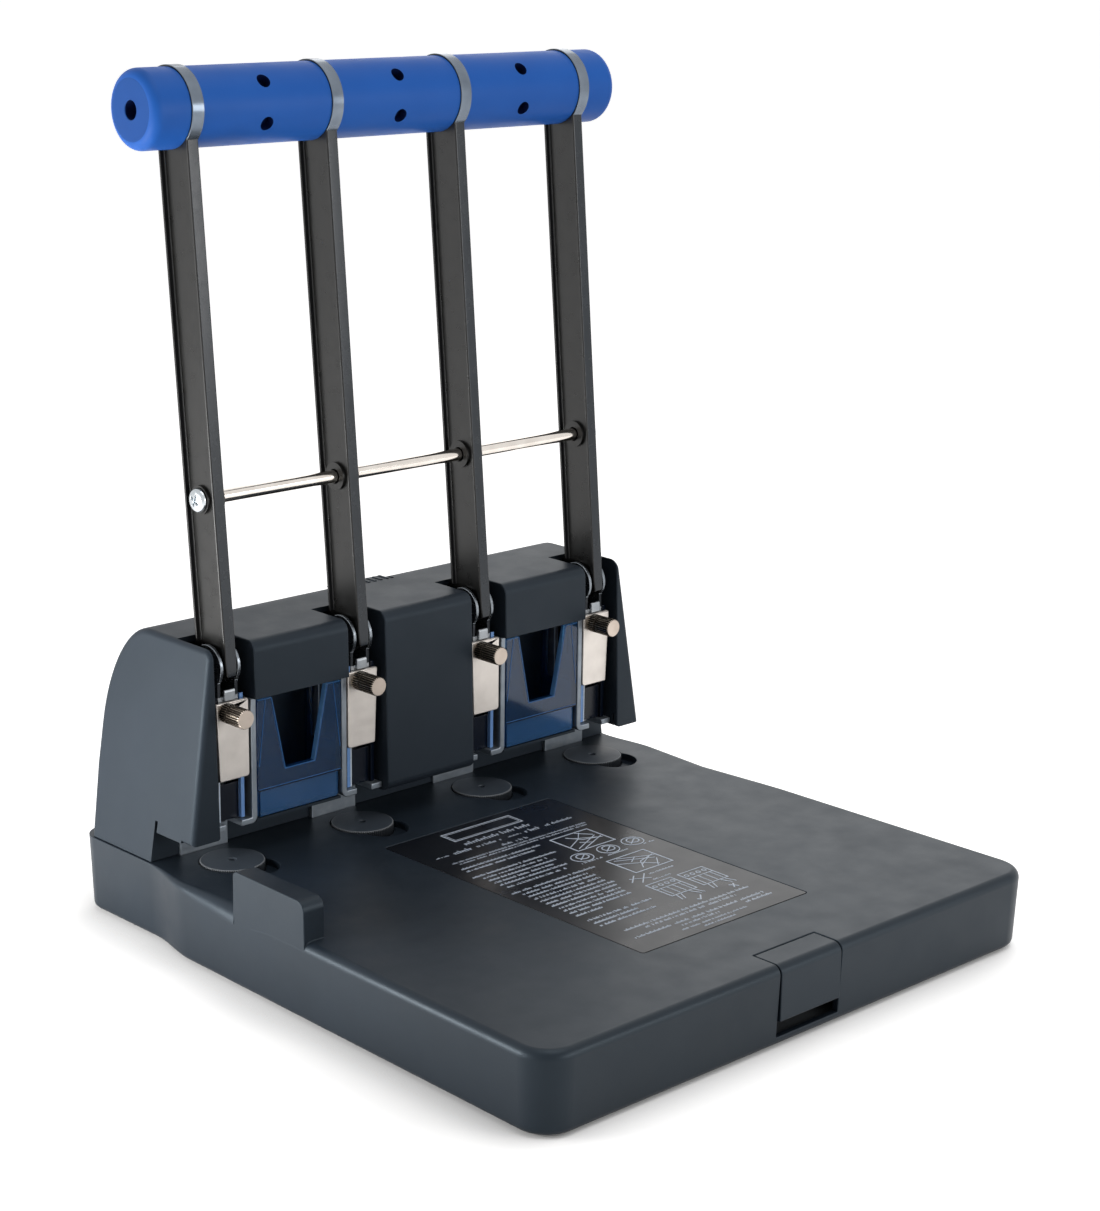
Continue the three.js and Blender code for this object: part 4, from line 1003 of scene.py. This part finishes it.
def cutting_disc(index, x):
    teeth, per_tooth = 90, 4
    profile = [
        (1.7, 0.5), (1.7, -5.2), (14.9, -5.2), (15.6, -4.7), (15.6, 0.25), (15.35, 0.65), (14.9, 0.8), (2.1, 0.8),
    ]

    def wave(row, k):
        return -0.28 if row in (3, 4) and k % per_tooth in (0, 1) else 0.0

    body = lathe(f"disc_{index}", profile, "z", x, 0, teeth * per_tooth, wave, True)
    smooth(body, 30)

    def part(place, normal):
        reach = hypot(place[0] - x, place[1])
        # The top of the rim gets the painted highlight
        if reach > 14.85 and place[2] > 0.2 and normal.z > 0.3:
            return 1
        # The knurled sides get the painted shade
        return 2 if reach > 14 and normal.z < 0.3 else 0

    return paint(body, (DISC, DISC_RIM_HIGHLIGHT, DISC_SIDE_SHADE), part)


def slide_guide(index, x):
    low, high = 19.9, 82.0
    body = beam(f"guide_{index}", x, 8.6, 1, 19.4, low, high)
    cut(
        body,
        beam("channel", x, 6.5, 4.2, 17.2, low - 5, high + 5),
        beam("recess", x, 6.5, -20, 3, low - 5, high + 5),
        beam("mouth", x, 6.5, -20, 6, 37.8, high + 5),
        beam("crown", x, 20, 12, 40, 73, high + 5),
    )
    side = BIN_SIDES[index - 1]
    cut(body, block("window", *span(side, 6.2, 8.9, x), 4, 16, 44, 72))
    # A thin ridge that carries a painted highlight line
    add(body, block("line", x - 6.6, x - 5.4, 1.2, 3.2, low, 40))
    soften(body, 0.2)

    def part(place, normal):
        u = place[0] - x
        # The ridge gets the painted highlight line, the bin-side front edges the light blue painted highlight, the rest
        # the painted shade
        if -6.45 < u < -5.2 and place[1] < 3.1 and place[2] < 40.1:
            return 2
        return 1 if side * u > 6.3 and place[1] < 2.9 and (normal.y < -0.5 or side * normal.x < -0.5) else 0

    return paint(body, (SLIDE_CHANNEL_SHADE, SLIDE_EDGE_HIGHLIGHT, SLIDE_RIDGE_HIGHLIGHT), part)


# ---- chip bins ----
def chip_bin(side, x):
    front = -1.9
    body = beam("bin_" + side, x, 25.3, front, 50, 18.3, 77.3)
    cut(
        body,
        beam("inside", x, 23.5, front + 3.2, 48.2, 20.1, 90),
        prism("gate", [
            (x - 8.8, 40.2), (x + 8.8, 40.2), (x + 16.6, 77.6), (x + 16.6, 90), (x - 16.6, 90), (x - 16.6, 77.6),
        ], "y", front - 20, front + 3.5),
        beam("step", x, 60, front - 20, front + 1.2, 10, 31.5),
    )
    for sign in (-1, 1):
        cut(body, block("shoulder", *span(sign, 23.5, 60, x), front - 1, front + 2.4, 10, 31.5))
        cut(body, block("side_gap", *span(sign, 21.7, 60, x), front + 6.4, 20, 44, 90))
    soften(body, 0.3)

    def part(place, normal):
        # Top rims, the ledge top and the notch sides get the painted highlight
        if normal.z > 0.4 and (place[2] > 77.0 or 31 < place[2] < 32):
            return 1
        if place[2] < 31 and normal.y < -0.5:
            return 2
        return 1 if place[1] < front + 3 and place[2] > 40 and abs(normal.x) > 0.5 and abs(place[0] - x) < 18 else 0

    return paint(body, (BIN, BIN_EDGE_HIGHLIGHT, BIN_LOW), part)


def bin_marks(side, x):
    """Painted highlight lines on the edges of the notch and the ledge, and a painted shadow line under the ledge."""
    def place(u, v, w):
        return at(x + u, w, v)

    light = [stroke(-9.2, 40, 9.2, 40, 0.45), stroke(-25, 32.4, 25, 32.4, 0.35)]
    for way in (-1, 1):
        light += [
            stroke(way * 9.1, 40, way * 16.9, 77, 0.45), stroke(way * 17.2, 77, way * 25, 77, 0.4),
            stroke(way * 24.6, 44, way * 20.6, 76.8, 0.3),
        ]
    dark = [stroke(-25, 31.75, 25, 31.75, 0.5)]
    for name, lines, finish in (("edges", light, BIN_LINE_HIGHLIGHT), ("ledge_shadow", dark, BIN_SHADE)):
        body = raised_lines(f"bin_{name}_{side}", lines, place, -1.7, -2.05, -0.002)
        dress(body, f"bin_{side}", "bin_blue", material=finish)


# ---- return springs ----
def coil(index):
    """A return spring coiled to fill the box of its CAD node."""
    node = f"return_spring_{index}"
    low, high = (Vector(point) * 1000 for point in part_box(node))
    wire, turns, steps, sides = 0.7, 6, 28, 10
    middle = (low + high) / 2 - Vector(SHIFT)
    reach = (high.x - low.x) / 2 - wire
    tall = high.z - low.z
    rings = []
    for k in range(turns * steps + 1):
        c, s = cos(2 * pi * k / steps), sin(2 * pi * k / steps)
        rise = low.z - SHIFT[2] + wire + (tall - 2 * wire) * k / (turns * steps)
        ring = []
        for j in range(sides):
            turn = 2 * pi * j / sides
            out = reach + wire * cos(turn)
            ring.append((middle.x + out * c, middle.y + out * s, rise + wire * sin(turn)))
        rings.append(ring)
    spring = smooth(from_rings(f"coil_{index}", rings), 50)
    dress(spring, "body", "spring_steel", node, material=SPRING)
    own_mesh(spring)


# ---- assembly ----
dress(base_moulding(), "body", "moulding", "base_moulding", material=MOULDING)
label_panel()
dress(drawer(), "drawer", "moulding", "front_drawer", material=MOULDING)
dress(hood(), "body", "cover_moulding", "top_cover", material=HOOD)
dress(hood_ribs(), "body", "cover_moulding", material=HOOD)
dress(grip(), "lever", "grip_blue", "blue_grip")
dress(tie_rod(), "lever", "polished", "tie_rod", material=POLISHED)
for name, side in (("rod_screw_left", -1), ("rod_screw_right", 1)):
    dress(rod_screw(name, side), "lever", "polished", name, material=SCREW)
for number, unit in enumerate(UNITS, 1):
    dress(lever(number, unit), "lever", "lever_paint", f"lever_arm_{number}")
    dress(yoke(number, unit), f"punch_unit_{number}", "zinc", f"yoke_{number}")
    dress(frame_steel(number, unit), "body", "zinc", f"frame_{number}", material=ZINC)
    dress(clamp_plate(number, unit), f"punch_unit_{number}", "nickel", f"clamp_plate_{number}", material=NICKEL)
    dress(thumb_screw(number, unit), f"thumb_{number}", "knurled", f"thumb_screw_{number}")
    dress(cutting_disc(number, unit), f"disc_{number}", "disc_plastic", f"cutting_disc_{number}")
    dress(slide_guide(number, unit), "body", "guide_blue", f"slide_guide_{number}")
    coil(number)
for which, middle in zip(("left", "right"), BINS):
    dress(chip_bin(which, middle), f"bin_{which}", "bin_blue", f"chip_bin_{which}")
    bin_marks(which, middle)

KEPT = {
    "bottom_plate": CHASSIS, "foot_": RUBBER, "pivot_shaft": SHAFT, "carrier_": STEEL, "punch_": STEEL,
}
for name, node in frame["nodes"].items():
    for start, finish in KEPT.items():
        if name.startswith(start):
            node.data.materials.clear()
            node.data.materials.append(finish)
            crisp(node.data)


# ---- floor, light and camera ----
FLOOR_REACH = 30.0
FLOOR_GLOW = 0.84
# The soft shadow by the edges: how far it reaches in metres, how steep it is and which way it leans
SHADE_REACH = 0.05
SHADE_POWER = 2.6
SHADE_LEAN = (0.5, -0.3, 0.81)
FILL = 0.18
WHITE = (1, 1, 1, 1)
# The photo's camera, solved from points of known place: width and focal length in pixels, angles in degrees
PHOTO_WIDTH = 1100
FOCAL = 2623.7
AIM = (43.8, 15.2, 0.84)
EYE = (-824.0, -949.9, 446.8)
SENSOR = 36.0


def math_node(tree, operation, first, second):
    """A Math node on a socket and a second socket or number."""
    made = tree.nodes.new("ShaderNodeMath")
    made.operation = operation
    tree.links.new(first, made.inputs[0])
    if isinstance(second, float):
        made.inputs[1].default_value = second
    else:
        tree.links.new(second, made.inputs[1])
    return made.outputs[0]


def direct_rays(tree):
    """One for rays that show the background to the camera, alone or through metal and clear pieces."""
    path = tree.nodes.new("ShaderNodeLightPath")
    through = math_node(tree, "MAXIMUM", path.outputs["Is Glossy Ray"], path.outputs["Is Transmission Ray"])
    return math_node(tree, "MAXIMUM", path.outputs["Is Camera Ray"], through)


def floor():
    """A white floor with a soft shadow close to the punch."""
    mesh = bpy.data.meshes.new("floor")
    r = FLOOR_REACH
    mesh.from_pydata([(-r, -r, 0), (r, -r, 0), (r, r, 0), (-r, r, 0)], [], [(0, 1, 2, 3)])
    obj = new_object("floor", mesh)
    material = bpy.data.materials.new("mat_floor")
    material.use_nodes = True
    tree = material.node_tree
    link = tree.links.new
    shader = tree.nodes["Principled BSDF"]
    fill(shader, Base_Color=(0.86, 0.85, 0.84, 1), Roughness=0.9, Specular_IOR_Level=0.1)
    glow = fill(tree.nodes.new("ShaderNodeEmission"), Color=WHITE)
    shade = fill(tree.nodes.new("ShaderNodeAmbientOcclusion"), Distance=SHADE_REACH)
    shade.samples = 4
    lean = fill(tree.nodes.new("ShaderNodeCombineXYZ"), **dict(zip("XYZ", SHADE_LEAN)))
    link(lean.outputs[0], shade.inputs["Normal"])
    deeper = math_node(tree, "POWER", shade.outputs["AO"], SHADE_POWER)
    level = math_node(tree, "MULTIPLY", deeper, FLOOR_GLOW)
    seen = math_node(tree, "MULTIPLY", level, direct_rays(tree))
    link(seen, glow.inputs["Strength"])
    both = tree.nodes.new("ShaderNodeAddShader")
    link(shader.outputs[0], both.inputs[0])
    link(glow.outputs[0], both.inputs[1])
    link(both.outputs[0], tree.nodes["Material Output"].inputs["Surface"])
    mesh.materials.append(material)


def lamp(name, place, target, size, power):
    data = bpy.data.lights.new(name, "AREA")
    data.shape = "RECTANGLE"
    data.size, data.size_y = size
    data.energy = power
    obj = new_object(name, data)
    obj.location = place
    obj.rotation_euler = (Vector(target) - Vector(place)).to_track_quat("-Z", "Y").to_euler()


def world():
    """A soft fill for the pieces and plain white behind them."""
    sky = bpy.data.worlds.new("studio")
    bpy.context.scene.world = sky
    sky.use_nodes = True
    tree = sky.node_tree
    link = tree.links.new
    plain = fill(tree.nodes["Background"], Color=WHITE, Strength=FILL)
    white = fill(tree.nodes.new("ShaderNodeBackground"), Color=WHITE, Strength=1.0)
    mix = tree.nodes.new("ShaderNodeMixShader")
    link(direct_rays(tree), mix.inputs["Fac"])
    link(plain.outputs[0], mix.inputs[1])
    link(white.outputs[0], mix.inputs[2])
    link(mix.outputs[0], tree.nodes["World Output"].inputs["Surface"])


def camera():
    data = bpy.data.cameras.new("camera")
    data.sensor_fit = "HORIZONTAL"
    data.sensor_width = SENSOR
    data.lens = FOCAL / PHOTO_WIDTH * SENSOR
    data.clip_start = 0.05
    data.clip_end = 100.0
    obj = new_object("camera", data)
    yaw, pitch, roll = (radians(angle) for angle in AIM)
    ahead = Vector((sin(yaw) * cos(pitch), cos(yaw) * cos(pitch), -sin(pitch)))
    level = Vector((cos(yaw), -sin(yaw), 0))
    up = level.cross(ahead)
    right = level * cos(roll) + up * sin(roll)
    top = up * cos(roll) - level * sin(roll)
    turn = Matrix((right, top, -ahead)).transposed().to_4x4()
    obj.matrix_world = Matrix.Translation(at(*EYE)) @ turn
    bpy.context.scene.camera = obj


floor()
world()
lamp("side", (-0.5, 0.2, 0.12), (-0.15, 0.1, 0.04), (0.3, 0.15), 2.3)
lamp("left", (-1.5, 0.6, 0.35), (-0.1, 0, 0.08), (1.3, 0.6), 7.4)
lamp("front", (0.5, -1.9, 0.5), (0, 0, 0.15), (1.4, 0.7), 10)
lamp("low", (0.5, -1.0, 0.42), (0, 0, 0.3), (0.5, 0.3), 1.6)
lamp("top", (0.1, -0.3, 1.9), (0, 0, 0.05), (1.2, 1.2), 9.5)
lamp("back", (1.3, 1.0, 0.9), (0, 0, 0.1), (1.0, 1.0), 2.6)
camera()
bpy.context.scene.view_settings.view_transform = "Standard"
